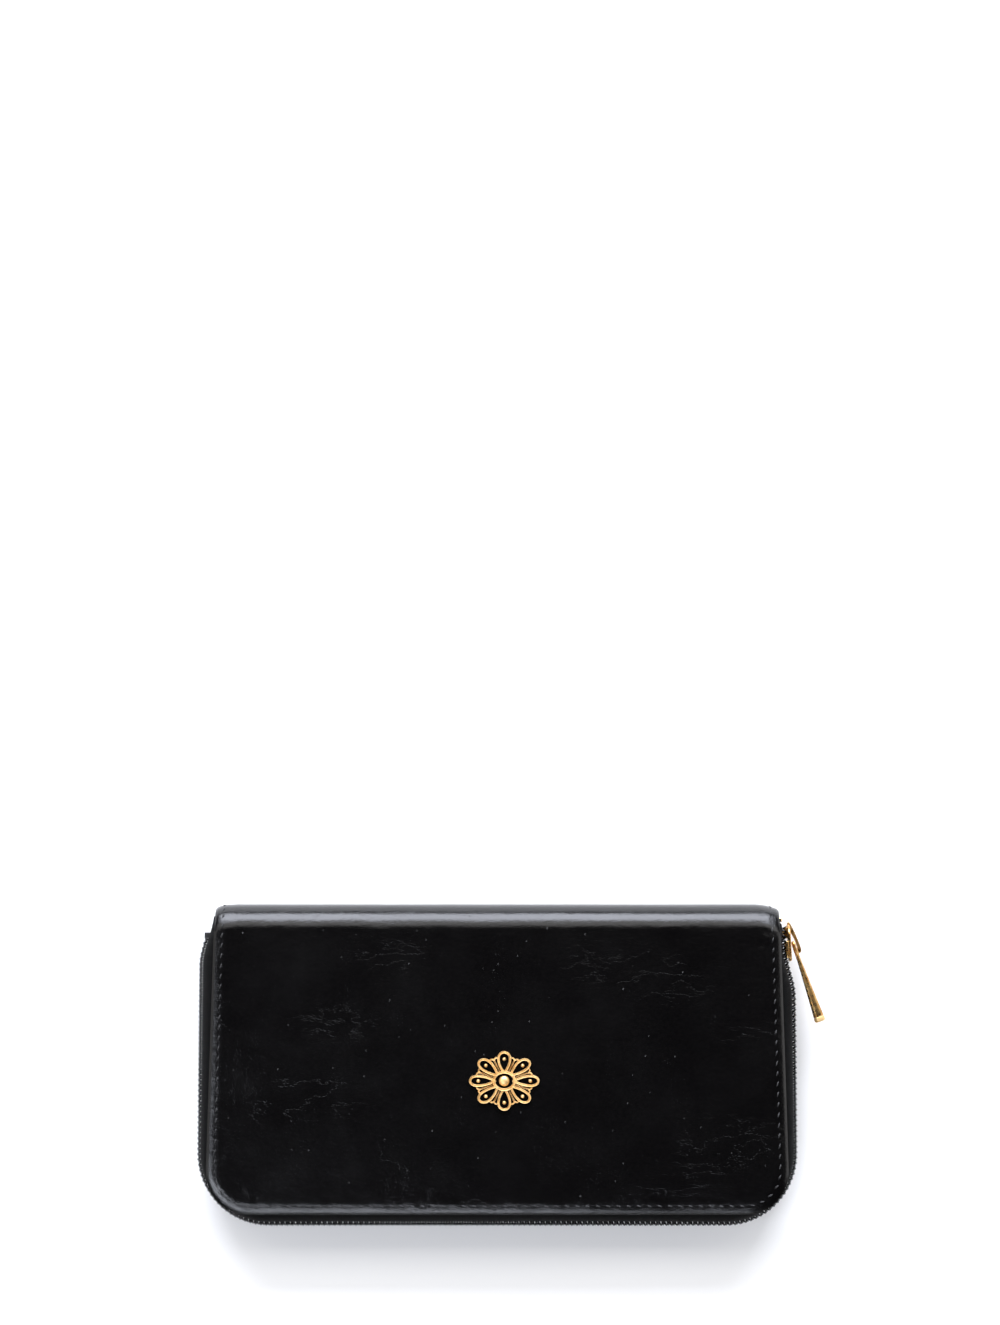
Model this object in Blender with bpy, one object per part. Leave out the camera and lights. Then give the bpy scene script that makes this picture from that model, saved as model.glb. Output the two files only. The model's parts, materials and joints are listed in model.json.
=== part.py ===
"""Long zip-around wallet, closed and lying on its back cover.

The frame has its origin in the middle of the back cover's outer face, +Z up through the wallet,
+Y towards the spine and +X towards the end where the closed zip's slider stands. Units are metres.

The wallet is two leather-covered halves joined by a round spine. A zip runs round the other three
sides. Inside are card pockets on both halves and a zipped coin pocket, held by accordion gussets.
"""

import math

import bmesh
import bpy
from mathutils import Matrix, Vector

# Driving dimensions
THICKNESS = 0.0240
SPINE_Y = 0.0525
MOUTH_Y = -0.0502
HALF_AT_SPINE = 0.0945
HALF_AT_MOUTH = 0.0967
CORNER_R = 0.0145
SPINE_R = 0.0090

# Sheet materials, stacked from each outer face inwards
GAP = 0.00025
LEATHER = 0.0012
BOARD = 0.0006
LINING = 0.0005
STRIP = 0.0005
STRIPS = 3

# The zip round the mouth: each row of teeth, its tape, and the line that the chain follows
CHAIN_X = 0.0989
CHAIN_Y = -0.0531
CHAIN_R = 0.0228
CLOSED_END_BEND = (0.0031, 0.0215, 0.0385)
FAR_END_BEND = (0.0036, 0.0320, 0.0500)
TUCK = (0.0020, 0.0452, 0.0480)
ROW_INNER = 0.00012
ROW_OUTER = 0.0029
ROW_HALF_THICK = 0.0012
TAPE = 0.0006
TAPE_EDGE = 0.0031
TAPE_UPRIGHT = 0.0050
TAPE_FLANGE_OUT = 0.0015
TAPE_FLANGE_IN = 0.0085
TAIL_Y = 0.0483
SPREAD = 0.0011

# Main slider and its pull
SLIDER_Y = 0.0396
SLIDER_TILT = math.radians(3.0)
SLIDER_HALF_LENGTH = 0.0062
SLIDER_HALF_WIDTH = 0.0045
CHANNEL_HALF = 0.0016
PLATE = 0.0008
PIVOT_OUT = 0.0034
CROWN_HALF_WIDTH = 0.0012
EYE_HALF_WIDTH = 0.0026
EYE_BAR = 0.0011
EYE_LENGTH = 0.0058
PULL_ANGLE = math.radians(19.3)
PULL_LENGTH = 0.0279
CAP_LENGTH = 0.0017

# Coin pocket, in the middle of the wallet
COIN_HALF_X = 0.0880
COIN_SPINE_Y = 0.0440
COIN_MOUTH_Y = -0.0310
COIN_THICK = 0.0036
COIN_WALL = 0.0008
COIN_CHAIN_Y = -0.0350
COIN_SCALE = 0.78
COIN_SLIDER_X = 0.0600
COIN_PULL_LENGTH = 0.0110
COIN_PULL_LEAN = math.radians(3.0)

# Accordion gussets
GUSSET = 0.0005
GUSSET_X = 0.0905
GUSSET_MOUTH_Y = -0.0240
GUSSET_SPINE_Y = 0.0380
PLEAT_AT_SPINE = 0.0034
PLEAT_AT_MOUTH = 0.0180

# Emblem
EMBLEM_X = 0.0023
EMBLEM_Y = -0.0063
EMBLEM_HALF_X = 0.01195
EMBLEM_HALF_Y = 0.00995
EMBLEM_LIFT = 0.00025
EMBLEM_THICK = 0.0015
EMBLEM_PETALS = 8
# A petal's hole and the hole between two petals: reach, half length, half width, shift in petals
EMBLEM_HOLES = ((0.60, 0.20, 0.13, 0.0), (0.78, 0.07, 0.09, 0.5))
STUD_X = 0.00324
STUD_R = 0.0006

MID = THICKNESS / 2
SPINE_CENTRE_Y = SPINE_Y - SPINE_R
HINGE_Y = SPINE_Y - LEATHER / 2
COVER_END_Y = SPINE_CENTRE_Y - 0.0003
SIDE_STEPS = 7
END_STEPS = 11
END_FROM_Y = 0.0300
CORNER_STEPS = 9
MOUTH_STEPS = 6


# ---------------------------------------------------------------- materials
def material(name, colour, roughness, metallic=0.0):
    made = bpy.data.materials.new(name)
    made.use_nodes = True
    shader = made.node_tree.nodes["Principled BSDF"]
    shader.inputs["Base Color"].default_value = (*colour, 1.0)
    shader.inputs["Roughness"].default_value = roughness
    shader.inputs["Metallic"].default_value = metallic
    return made


def make_materials():
    return {
        "leather": material("cover_leather", (0.012, 0.012, 0.014), 0.35),
        "inside": material("inside_leather", (0.020, 0.020, 0.022), 0.50),
        "board": material("stiffener_board", (0.180, 0.150, 0.120), 0.90),
        "tape": material("zip_tape", (0.015, 0.015, 0.016), 0.80),
        "teeth": material("zip_teeth", (0.010, 0.010, 0.011), 0.40),
        "gold": material("gold_metal", (0.850, 0.600, 0.270), 0.20, 1.0),
    }


# ---------------------------------------------------------------- mesh helpers
def finish_mesh(name, mesh_data, finish, parent, smooth=True):
    """A named object from a bmesh, with its faces pointing out, hung from its body's empty."""
    bmesh.ops.recalc_face_normals(mesh_data, faces=mesh_data.faces)
    if mesh_data.calc_volume(signed=True) < 0:
        bmesh.ops.reverse_faces(mesh_data, faces=mesh_data.faces)
    mesh = bpy.data.meshes.new(name)
    mesh_data.to_mesh(mesh)
    mesh_data.free()
    mesh.materials.append(finish)
    if smooth:
        mesh.shade_smooth()
        mesh.set_sharp_from_angle(angle=math.radians(30))
    made = bpy.data.objects.new(name, mesh)
    bpy.context.scene.collection.objects.link(made)
    made.parent = parent
    if parent:
        made.matrix_parent_inverse = parent.matrix_world.inverted()
    return made


def loft(rings):
    """A closed bmesh through rings of points, capped at both ends."""
    made = bmesh.new()
    rows = [[made.verts.new(p) for p in ring] for ring in rings]
    count = len(rows[0])
    for low, high in zip(rows, rows[1:]):
        for i in range(count):
            j = (i + 1) % count
            made.faces.new((low[i], low[j], high[j], high[i]))
    made.faces.new(rows[0][::-1])
    made.faces.new(rows[-1])
    return made


def prism(outline, z0, z1):
    """A flat sheet: the outline, a list of (x, y), between two heights."""
    return loft([[Vector((x, y, z)) for x, y in outline] for z in (z0, z1)])


def block(low, high):
    corners = [(low[0], low[1]), (high[0], low[1]), (high[0], high[1]), (low[0], high[1])]
    return prism(corners, low[2], high[2])


def strip_outline(line, half):
    """The closed outline of a strip of that half thickness along a line of 2D points."""
    left, right = [], []
    for i, point in enumerate(line):
        before = (point - line[i - 1]).normalized() if i else None
        after = (line[i + 1] - point).normalized() if i + 1 < len(line) else None
        way = ((before or after) + (after or before)).normalized()
        across = Vector((-way.y, way.x))
        first = before or after
        mitre = half / max(across.dot(Vector((-first.y, first.x))), 0.5)
        left.append(point + across * mitre)
        right.append(point - across * mitre)
    return left + right[::-1]


def cut(target, cutter):
    """Cuts a hidden helper out of a piece."""
    cutter.hide_render = True
    cutter.display_type = "WIRE"
    modifier = target.modifiers.new("cut_" + cutter.name, "BOOLEAN")
    modifier.operation = "DIFFERENCE"
    modifier.object = cutter


def join(target, added):
    """Joins a hidden helper to a piece, as one casting."""
    added.hide_render = True
    added.display_type = "WIRE"
    modifier = target.modifiers.new("join_" + added.name, "BOOLEAN")
    modifier.operation = "UNION"
    modifier.object = added


def cylinder(centre, axis, radius, length, sides=20, far_radius=None):
    """A closed round bmesh from centre along axis."""
    made = bmesh.new()
    turned = Vector((0, 0, 1)).rotation_difference(axis).to_matrix().to_4x4()
    place = Matrix.Translation(centre + axis.normalized() * length / 2) @ turned
    bmesh.ops.create_cone(
        made,
        cap_ends=True,
        segments=sides,
        radius1=radius,
        radius2=radius if far_radius is None else far_radius,
        depth=length,
        matrix=place,
    )
    return made


# ---------------------------------------------------------------- outlines in plan
def half_width(y):
    """Half the cover's length at y: the leather flares a little towards the mouth."""
    share = (SPINE_Y - y) / (SPINE_Y - (MOUTH_Y + CORNER_R))
    return HALF_AT_SPINE + (HALF_AT_MOUTH - HALF_AT_SPINE) * min(share, 1.0)


def side_heights(low_y, top_y):
    """Heights up a short side, closer together near the spine, where the zip bends in."""
    even = [low_y + (END_FROM_Y - low_y) * i / SIDE_STEPS for i in range(1, SIDE_STEPS + 1)]
    return even + [END_FROM_Y + (top_y - END_FROM_Y) * i / END_STEPS for i in range(1, END_STEPS + 1)]


def mouth_line(side_x, mouth_y, radius, top_y):
    """Points round three sides, from the left end at top_y, round the mouth, to the right end.

    side_x gives the distance from the middle at a height, for the left (-1) or the right (1) side.
    """
    start_y = mouth_y + radius
    halves = []
    for side in (-1, 1):
        corner_x = side_x(start_y, side) - radius
        half = [(side * corner_x * 2 * i / MOUTH_STEPS, mouth_y) for i in range(MOUTH_STEPS // 2)]
        for i in range(CORNER_STEPS + 1):
            turn = math.pi / 2 * i / CORNER_STEPS
            half.append((side * (corner_x + radius * math.sin(turn)), start_y - radius * math.cos(turn)))
        half += [(side * side_x(y, side), y) for y in side_heights(start_y, top_y)]
        halves.append(half)
    return halves[0][:0:-1] + halves[1]


def cover_line(inset, top_y=COVER_END_Y):
    """The cover's edge, or a line that far inside it, from the left end round to the right end."""
    return mouth_line(lambda y, side: half_width(y) - inset, MOUTH_Y + inset, CORNER_R - inset, top_y)


def ease(value, start, end):
    share = min(max((value - start) / (end - start), 0.0), 1.0)
    return share * share * (3 - 2 * share)


def chain_x(y, side):
    """The chain's distance from the middle on a short side: it bends in towards its two ends."""
    bends = (CLOSED_END_BEND, TUCK) if side > 0 else (FAR_END_BEND,)
    return CHAIN_X - sum(depth * ease(y, start, end) for depth, start, end in bends)


def chain_line(top_y):
    return mouth_line(chain_x, CHAIN_Y, CHAIN_R, top_y)


# ---------------------------------------------------------------- flat layers of both halves
def layer(depth, thick, front):
    """Lowest and highest z of a sheet that starts that deep under its half's outer face."""
    if front:
        return THICKNESS - depth - thick, THICKNESS - depth
    return depth, depth + thick


def make_half(side, parent, finish):
    """Cover, stiffener board, lining and stepped card strips of one half."""
    front = side == "front"
    cover = prism(cover_line(0.0), *layer(0.0, LEATHER, front))
    cover = finish_mesh(f"{side}_cover", cover, finish["leather"], parent)
    depth = LEATHER + GAP
    board = prism(cover_line(TAPE_FLANGE_IN + 0.001), *layer(depth, BOARD, front))
    board = finish_mesh(f"{side}_board", board, finish["board"], parent)
    depth += BOARD + GAP
    lining = prism(cover_line(TAPE_FLANGE_OUT + 0.0005), *layer(depth, LINING, front))
    finish_mesh(f"{side}_lining", lining, finish["inside"], parent)
    depth += LINING + GAP
    for k in range(STRIPS):
        low, high = layer(depth + k * (STRIP + GAP), STRIP, front)
        strip = block((-0.0870, -0.0340 + 0.0120 * k, low), (0.0870, 0.0385, high))
        finish_mesh(f"{side}_card_strip_{k + 1}", strip, finish["inside"], parent)
    return cover, board


def half_pipe(outer, inner, half_x):
    """A sheet round the spine, whose two rounded shoulders have the same centres outside and inside."""
    quarter = [math.pi / 2 * i / 10 for i in range(11)]
    section = []
    for radius in (outer, inner):
        low = [(radius * math.sin(t), SPINE_R - radius * math.cos(t)) for t in quarter]
        curve = low + [(y, THICKNESS - z) for y, z in reversed(low)]
        section += curve if radius == outer else curve[::-1]
    return loft([[Vector((x, SPINE_CENTRE_Y + y, z)) for y, z in section] for x in (-half_x, half_x)])


def make_spine(parent, finish):
    finish_mesh("spine", half_pipe(SPINE_R, SPINE_R - LEATHER, HALF_AT_SPINE), finish["leather"], parent)
    outer = SPINE_R - LEATHER - BOARD - 2 * GAP
    lining = half_pipe(outer, outer - LINING, HALF_AT_SPINE - 0.002)
    finish_mesh("spine_lining", lining, finish["inside"], parent)


# ---------------------------------------------------------------- zip round the mouth
def attach_height(y):
    """The back tape's middle height where it is sewn in: level under the cover, round in the spine."""
    radius = SPINE_R - LEATHER - GAP - TAPE / 2
    along = max(y - SPINE_CENTRE_Y, 0.0)
    return SPINE_R - math.sqrt(radius**2 - along**2)


def spread(x, y):
    """How far each row stands off the middle, where the rows part round the slider's wedge."""
    return SPREAD * ease(y, 0.0370, 0.0400) if x > 0 else 0.0


def tape_edge(x, y):
    """Where the tape starts, from the middle: beside its row, or meeting its twin past the end."""
    if x < 0:
        return TAPE_EDGE + (0.00015 - TAPE_EDGE) * ease(y, 0.0434, 0.0450)
    return TAPE_EDGE + spread(x, y)


def make_tape(name, front, parent, finish):
    rings = []
    outer, inner = cover_line(TAPE_FLANGE_OUT, TAIL_Y), cover_line(TAPE_FLANGE_IN, TAIL_Y)
    for (cx, cy), (ox, oy), (ix, iy) in zip(chain_line(TAIL_Y), outer, inner):
        foot, out = Vector((ox, oy)), Vector((ox - ix, oy - iy)).normalized()
        way = Vector((cx, cy)) - foot
        reach = way.length
        low = attach_height(oy)
        upright = MID - max(TAPE_UPRIGHT, tape_edge(cx, cy) + 0.0005)
        line = [Vector((reach, MID - tape_edge(cx, cy)))]
        for i in range(5):
            turn = math.pi / 2 * i / 4
            line.append(Vector((reach * math.cos(turn), low + (upright - low) * (1 - math.sin(turn)))))
        line.append(Vector((TAPE_FLANGE_OUT - TAPE_FLANGE_IN, low)))
        ring = []
        for n, z in strip_outline(line, TAPE / 2):
            place = foot + (way * (n / reach) if n > 0 else out * n)
            ring.append(Vector((place.x, place.y, THICKNESS - z if front else z)))
        rings.append(ring)
    return finish_mesh(name, loft(rings), finish, parent)


def band(line, stand_off, half_thick, low, high, sign):
    """One row of teeth as a plain band along a line in plan, on one side of the wallet's middle."""
    rings = []
    for i, (x, y) in enumerate(line):
        before, after = Vector(line[max(i - 1, 0)]), Vector(line[min(i + 1, len(line) - 1)])
        way = (after - before).normalized()
        out = Vector((way.y, -way.x)) * half_thick
        near, far = low + stand_off(x, y), high + stand_off(x, y)
        ring = [(-1, near), (1, near), (1, far), (-1, far)]
        rings.append([Vector((x + s * out.x, y + s * out.y, MID + sign * w)) for s, w in ring])
    return loft(rings)


def make_zip(bodies, finish):
    left_end, right_end = 0.0405, 0.0462
    for side, sign in (("back", -1), ("front", 1)):
        make_tape(f"zip_tape_{side}", sign > 0, bodies[side], finish["tape"])
        line = [p for p in chain_line(right_end) if p[0] > 0 or p[1] < left_end - 0.0004]
        line.insert(0, (-chain_x(left_end, -1), left_end))
        row = band(line, spread, ROW_HALF_THICK, ROW_INNER, ROW_OUTER, sign)
        finish_mesh(f"zip_coil_{side}", row, finish["teeth"], bodies[side])
        x = chain_x(0.0472, 1)
        heights = sorted((MID + sign * 0.0014, MID + sign * 0.0040))
        stop = block((x - 0.0011, 0.0465, heights[0]), (x + 0.0011, 0.0480, heights[1]))
        finish_mesh(f"top_stop_{side}", stop, finish["gold"], bodies[side])
    x = chain_x(0.0421, -1)
    stop = block((-x - 0.0013, 0.0411, MID - ROW_OUTER), (-x + 0.0013, 0.0431, MID + ROW_OUTER))
    finish_mesh("bottom_stop", stop, finish["gold"], bodies["back"])


# ---------------------------------------------------------------- sliders and pulls
# A slider's own axes: x out from the zip, y along the chain towards the closed end, z across.
def plate(outline, low, high):
    """A flat piece across the slider's x, from an outline of (y, z)."""
    return loft([[Vector((x, y, z)) for y, z in outline] for x in (low, high)])


def shield(nose_half, tail_half):
    """A slider plate's outline, wide and round at the nose and narrower at the tail."""
    nose_y, tail_y = SLIDER_HALF_LENGTH, -SLIDER_HALF_LENGTH
    outline = []
    for i in range(11):
        turn = math.pi * i / 10
        outline.append((nose_y - nose_half * 0.8 * (1 - math.sin(turn)), nose_half * math.cos(turn)))
    outline += [(tail_y + 0.0009, -tail_half), (tail_y, 0.0009 - tail_half)]
    return outline + [(tail_y, tail_half - 0.0009), (tail_y + 0.0009, tail_half)]


CROWN_PROFILE = (
    (0.0025, 0.0060),
    (0.0033, 0.0046),
    (0.0044, 0.0020),
    (0.0053, -0.0008),
    (0.0060, -0.0026),
    (0.0058, -0.0033),
    (0.0052, -0.0037),
    (0.0049, -0.0032),
    (0.0050, -0.0025),
    (0.0043, -0.0003),
    (0.0034, 0.0024),
    (0.0025, 0.0037),
)


def make_slider(prefix, bodies, place, inner_half, lean, pull_length, finish):
    """Slider body and crown on one body, pull stem and end cap on the other."""
    slider_body, pull_body = bodies[f"{prefix}slider"], bodies[f"{prefix}pull"]
    far = CHANNEL_HALF + PLATE
    outer = plate(shield(SLIDER_HALF_WIDTH, SLIDER_HALF_WIDTH - 0.0012), CHANNEL_HALF, far)
    inner = plate(shield(inner_half, inner_half), -far, -CHANNEL_HALF)
    wedge_line = [(0.0014, 0), (0.0030, 0.0008), (0.0052, 0.0008), (0.0052, -0.0008), (0.0030, -0.0008)]
    wedge = plate(wedge_line, -CHANNEL_HALF - PLATE / 2, CHANNEL_HALF + PLATE / 2)
    half = CROWN_HALF_WIDTH
    crown = loft([[Vector((x, y, z)) for x, y in CROWN_PROFILE] for z in (-half, half)])
    for shape in (outer, inner, wedge, crown):
        shape.transform(place)
    slider = finish_mesh(f"{prefix}slider_body", outer, finish, slider_body)
    join(slider, finish_mesh(f"{prefix}slider_inner_shape", inner, finish, slider_body))
    join(slider, finish_mesh(f"{prefix}slider_wedge_shape", wedge, finish, slider_body))
    finish_mesh(f"{prefix}slider_crown", crown, finish, slider_body)
    turn = Matrix.Rotation(lean - math.pi / 2, 4, "Z")
    make_pull(prefix, pull_body, place @ Matrix.Translation((PIVOT_OUT, 0, 0)) @ turn, pull_length, finish)


def make_pull(prefix, body, place, length, finish):
    """A pull along its own +x from the pivot: an eye round the crown, a flared stem and a cap."""
    half, arm, out = EYE_BAR / 2, EYE_BAR * 0.75, Vector((1, 0, 0))
    frame = block((-half, -half, -EYE_HALF_WIDTH), (EYE_LENGTH, half, EYE_HALF_WIDTH))
    inside = EYE_HALF_WIDTH - arm
    window = block((half, -3 * half, -inside), (EYE_LENGTH - EYE_BAR, 3 * half, inside))
    start, end = EYE_LENGTH - 0.0008, length - CAP_LENGTH - 0.0001
    stem = cylinder(Vector((start, 0, 0)), out, 0.0007, end - start, 16, 0.00168)
    cap = cylinder(Vector((length - CAP_LENGTH, 0, 0)), out, 0.0018, CAP_LENGTH, 20)
    for shape in (frame, window, stem, cap):
        shape.transform(place)
    pull = finish_mesh(f"{prefix}pull_stem", frame, finish, body)
    cut(pull, finish_mesh(f"{prefix}pull_window_shape", window, finish, body))
    join(pull, finish_mesh(f"{prefix}pull_stem_shape", stem, finish, body))
    finish_mesh(f"{prefix}pull_cap", cap, finish, body)


# ---------------------------------------------------------------- coin pocket and its zip
def make_coin_pocket(bodies, finish):
    parent = bodies["divider"]
    half = COIN_THICK / 2
    inside = half - COIN_WALL
    for side, sign in (("back", -1), ("front", 1)):
        low, high = sorted((MID + sign * inside, MID + sign * half))
        wall = block((-COIN_HALF_X, COIN_MOUTH_Y, low), (COIN_HALF_X, COIN_SPINE_Y, high))
        finish_mesh(f"coin_wall_{side}", wall, finish["inside"], parent)
        low, high = sorted((MID + sign * (half + 0.0002), MID + sign * (half + 0.0006)))
        tape = block((-0.0720, -0.0338, low), (0.0720, -0.0270, high))
        finish_mesh(f"coin_tape_{side}", tape, finish["tape"], parent)
    wide, low, high = COIN_HALF_X - 0.0040, MID - inside + GAP, MID + inside - GAP
    outline = [(-COIN_HALF_X, COIN_SPINE_Y), (-COIN_HALF_X, COIN_MOUTH_Y), (-wide, COIN_MOUTH_Y)]
    outline += [(-wide, COIN_SPINE_Y - 0.0040), (wide, COIN_SPINE_Y - 0.0040)]
    outline += [(wide, COIN_MOUTH_Y), (COIN_HALF_X, COIN_MOUTH_Y), (COIN_HALF_X, COIN_SPINE_Y)]
    finish_mesh("coin_pocket_seam", prism(outline, low, high), finish["inside"], parent)


def coin_spread(x, y):
    return SPREAD * COIN_SCALE * ease(x, 0.0580, 0.0605)


def make_coin_zip(bodies, finish):
    parent = bodies["divider"]
    thick = ROW_HALF_THICK * COIN_SCALE
    low, high = ROW_INNER, ROW_OUTER * COIN_SCALE
    line = [(x / 1000, COIN_CHAIN_Y) for x in (-68.3, 0, 58, 58.8, 59.6, 60.5, 67)]
    for side, sign in (("back", -1), ("front", 1)):
        row = band(line, coin_spread, thick, low, high, sign)
        finish_mesh(f"coin_coil_{side}", row, finish["teeth"], parent)
        heights = sorted((MID + sign * 0.0010, MID + sign * 0.0031))
        lower = (0.0673, COIN_CHAIN_Y - 0.0010, heights[0])
        stop = block(lower, (0.0688, COIN_CHAIN_Y + 0.0010, heights[1]))
        finish_mesh(f"coin_top_stop_{side}", stop, finish["gold"], parent)
    lower = (-0.0701, COIN_CHAIN_Y - 0.0010, MID - high)
    stop = block(lower, (-0.0686, COIN_CHAIN_Y + 0.0010, MID + high))
    finish_mesh("coin_bottom_stop", stop, finish["gold"], parent)


# ---------------------------------------------------------------- gussets
def make_gusset(side, sign, parent, finish):
    """A folded accordion strip at one end: from the back, round the coin pocket, to the front."""
    rings = []
    for i in range(9):
        share = i / 8
        y = GUSSET_SPINE_Y + (GUSSET_MOUTH_Y - GUSSET_SPINE_Y) * share
        fold = GUSSET_X - PLEAT_AT_SPINE - (PLEAT_AT_MOUTH - PLEAT_AT_SPINE) * share
        lower = [(GUSSET_X, 0.0057), (fold, 0.0073), (fold, 0.0079), (GUSSET_X - 0.0002, 0.0096)]
        upper = [(x, THICKNESS - z) for x, z in reversed(lower)]
        line = [Vector(p) for p in (*lower, (0.0892, MID), *upper)]
        rings.append([Vector((sign * x, y, z)) for x, z in strip_outline(line, GUSSET / 2)])
    finish_mesh(f"gusset_{side}", loft(rings), finish, parent)


# ---------------------------------------------------------------- emblem
def ellipse(centre_x, centre_y, half_x, half_y, turn, sides):
    points = []
    for i in range(sides):
        t = 2 * math.pi * i / sides
        x, y = half_x * math.cos(t), half_y * math.sin(t)
        points.append((x * math.cos(turn) - y * math.sin(turn), x * math.sin(turn) + y * math.cos(turn)))
    return [(centre_x + x, centre_y + y) for x, y in points]


def squeezed(points):
    """A round emblem's points, drawn on a unit circle, brought to the emblem's place and size."""
    return [(EMBLEM_X + EMBLEM_HALF_X * x, EMBLEM_Y + EMBLEM_HALF_Y * y) for x, y in points]


def make_emblem(cover, board, parent, finish):
    low = THICKNESS + EMBLEM_LIFT
    outline = []
    for i in range(96):
        t = 2 * math.pi * i / 96
        radius = 0.955 + 0.045 * math.cos(EMBLEM_PETALS * t)
        outline.append((radius * math.cos(t), radius * math.sin(t)))
    emblem = finish_mesh("emblem", prism(squeezed(outline), low, low + EMBLEM_THICK), finish, parent)
    for k in range(EMBLEM_PETALS):
        for ring, (reach, long, wide, shift) in enumerate(EMBLEM_HOLES):
            turn = 2 * math.pi * (k + shift) / EMBLEM_PETALS
            petal = ellipse(reach * math.cos(turn), reach * math.sin(turn), long, wide, turn, 16)
            shape = prism(squeezed(petal), low - 0.001, low + EMBLEM_THICK + 0.001)
            cut(emblem, finish_mesh(f"emblem_hole_shape_{ring}_{k}", shape, finish, parent))
    leather_low, board_low = THICKNESS - LEATHER, THICKNESS - LEATHER - GAP - BOARD
    down = Vector((0, 0, 1))
    for side, sign in (("left", -1), ("right", 1)):
        foot = Vector((EMBLEM_X + sign * STUD_X, EMBLEM_Y, 0))
        up = low + 0.0004 - (leather_low - 0.0001)
        stud = cylinder(foot + Vector((0, 0, leather_low - 0.0001)), down, STUD_R, up, 16)
        join(emblem, finish_mesh(f"emblem_stud_shape_{side}", stud, finish, parent))
        hole_foot = foot + Vector((0, 0, leather_low - 0.0010))
        hole = cylinder(hole_foot, down, STUD_R + GAP, LEATHER + 0.002, 16)
        cut(cover, finish_mesh(f"stud_hole_shape_{side}", hole, finish, parent))
        recess = cylinder(foot + Vector((0, 0, board_low - 0.001)), down, 0.0021, BOARD + 0.002, 20)
        cut(board, finish_mesh(f"nut_hole_shape_{side}", recess, finish, parent))
        nut = cylinder(foot + Vector((0, 0, board_low)), down, 0.0018, BOARD, 20)
        finish_mesh(f"emblem_nut_{side}", nut, finish, parent)


# ---------------------------------------------------------------- the whole wallet
def carrier(name, place):
    """An empty that stands on a body's joint axis and carries that body's pieces."""
    made = bpy.data.objects.new(name, None)
    bpy.context.scene.collection.objects.link(made)
    made.location = place
    return made


def main():
    for made in list(bpy.data.objects):
        bpy.data.objects.remove(made, do_unlink=True)
    finish = make_materials()

    slider_centre = Vector((chain_x(SLIDER_Y, 1), SLIDER_Y, MID))
    slider_place = Matrix.Translation(slider_centre) @ Matrix.Rotation(SLIDER_TILT, 4, "Z")
    coin_centre = Vector((COIN_SLIDER_X, COIN_CHAIN_Y, MID))
    coin_turn = Matrix.Rotation(-math.pi / 2, 4, "Z")
    coin_place = Matrix.Translation(coin_centre) @ coin_turn @ Matrix.Scale(COIN_SCALE, 4)
    pivot = Vector((PIVOT_OUT, 0, 0))

    bodies = {
        "back": carrier("back_body", (0, 0, 0)),
        "front": carrier("front_body", (0, HINGE_Y, MID)),
        "divider": carrier("divider_body", (0, HINGE_Y, MID)),
        "slider": carrier("slider_body_place", slider_centre),
        "pull": carrier("pull_body_place", slider_place @ pivot),
        "coin_slider": carrier("coin_slider_place", coin_centre),
        "coin_pull": carrier("coin_pull_place", coin_place @ pivot),
    }
    bpy.context.view_layer.update()

    make_half("back", bodies["back"], finish)
    cover, board = make_half("front", bodies["front"], finish)
    make_spine(bodies["back"], finish)
    make_zip(bodies, finish)
    gold = finish["gold"]
    make_slider("", bodies, slider_place, SLIDER_HALF_WIDTH, PULL_ANGLE - SLIDER_TILT, PULL_LENGTH, gold)
    make_coin_pocket(bodies, finish)
    make_coin_zip(bodies, finish)
    coin_length = COIN_PULL_LENGTH / COIN_SCALE
    make_slider("coin_", bodies, coin_place, 0.0021, COIN_PULL_LEAN, coin_length, gold)
    for side, sign in (("left", -1), ("right", 1)):
        make_gusset(side, sign, bodies["back"], finish["inside"])
    make_emblem(cover, board, bodies["front"], gold)


main()
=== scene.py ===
import json
import math

import bmesh
import bpy
import numpy as np
from mathutils import Matrix, Vector


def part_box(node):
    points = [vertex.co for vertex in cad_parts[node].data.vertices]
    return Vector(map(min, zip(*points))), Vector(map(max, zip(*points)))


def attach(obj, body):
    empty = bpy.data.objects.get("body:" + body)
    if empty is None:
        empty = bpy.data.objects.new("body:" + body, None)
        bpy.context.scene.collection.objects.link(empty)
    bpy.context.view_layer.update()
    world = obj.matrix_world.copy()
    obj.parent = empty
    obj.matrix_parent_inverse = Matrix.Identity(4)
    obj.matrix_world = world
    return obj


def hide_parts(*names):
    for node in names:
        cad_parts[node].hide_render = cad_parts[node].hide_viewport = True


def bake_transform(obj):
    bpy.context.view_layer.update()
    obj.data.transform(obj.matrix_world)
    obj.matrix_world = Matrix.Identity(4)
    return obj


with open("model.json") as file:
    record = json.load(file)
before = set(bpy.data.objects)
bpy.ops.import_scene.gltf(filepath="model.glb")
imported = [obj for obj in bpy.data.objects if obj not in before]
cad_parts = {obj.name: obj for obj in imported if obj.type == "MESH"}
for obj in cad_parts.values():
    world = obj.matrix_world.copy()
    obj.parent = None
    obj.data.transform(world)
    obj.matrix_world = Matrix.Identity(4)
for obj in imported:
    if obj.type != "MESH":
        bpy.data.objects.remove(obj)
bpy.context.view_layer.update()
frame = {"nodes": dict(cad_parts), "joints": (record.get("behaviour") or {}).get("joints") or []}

MM = 0.001
JOINTS = {joint["name"]: joint for joint in frame["joints"]}

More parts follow.
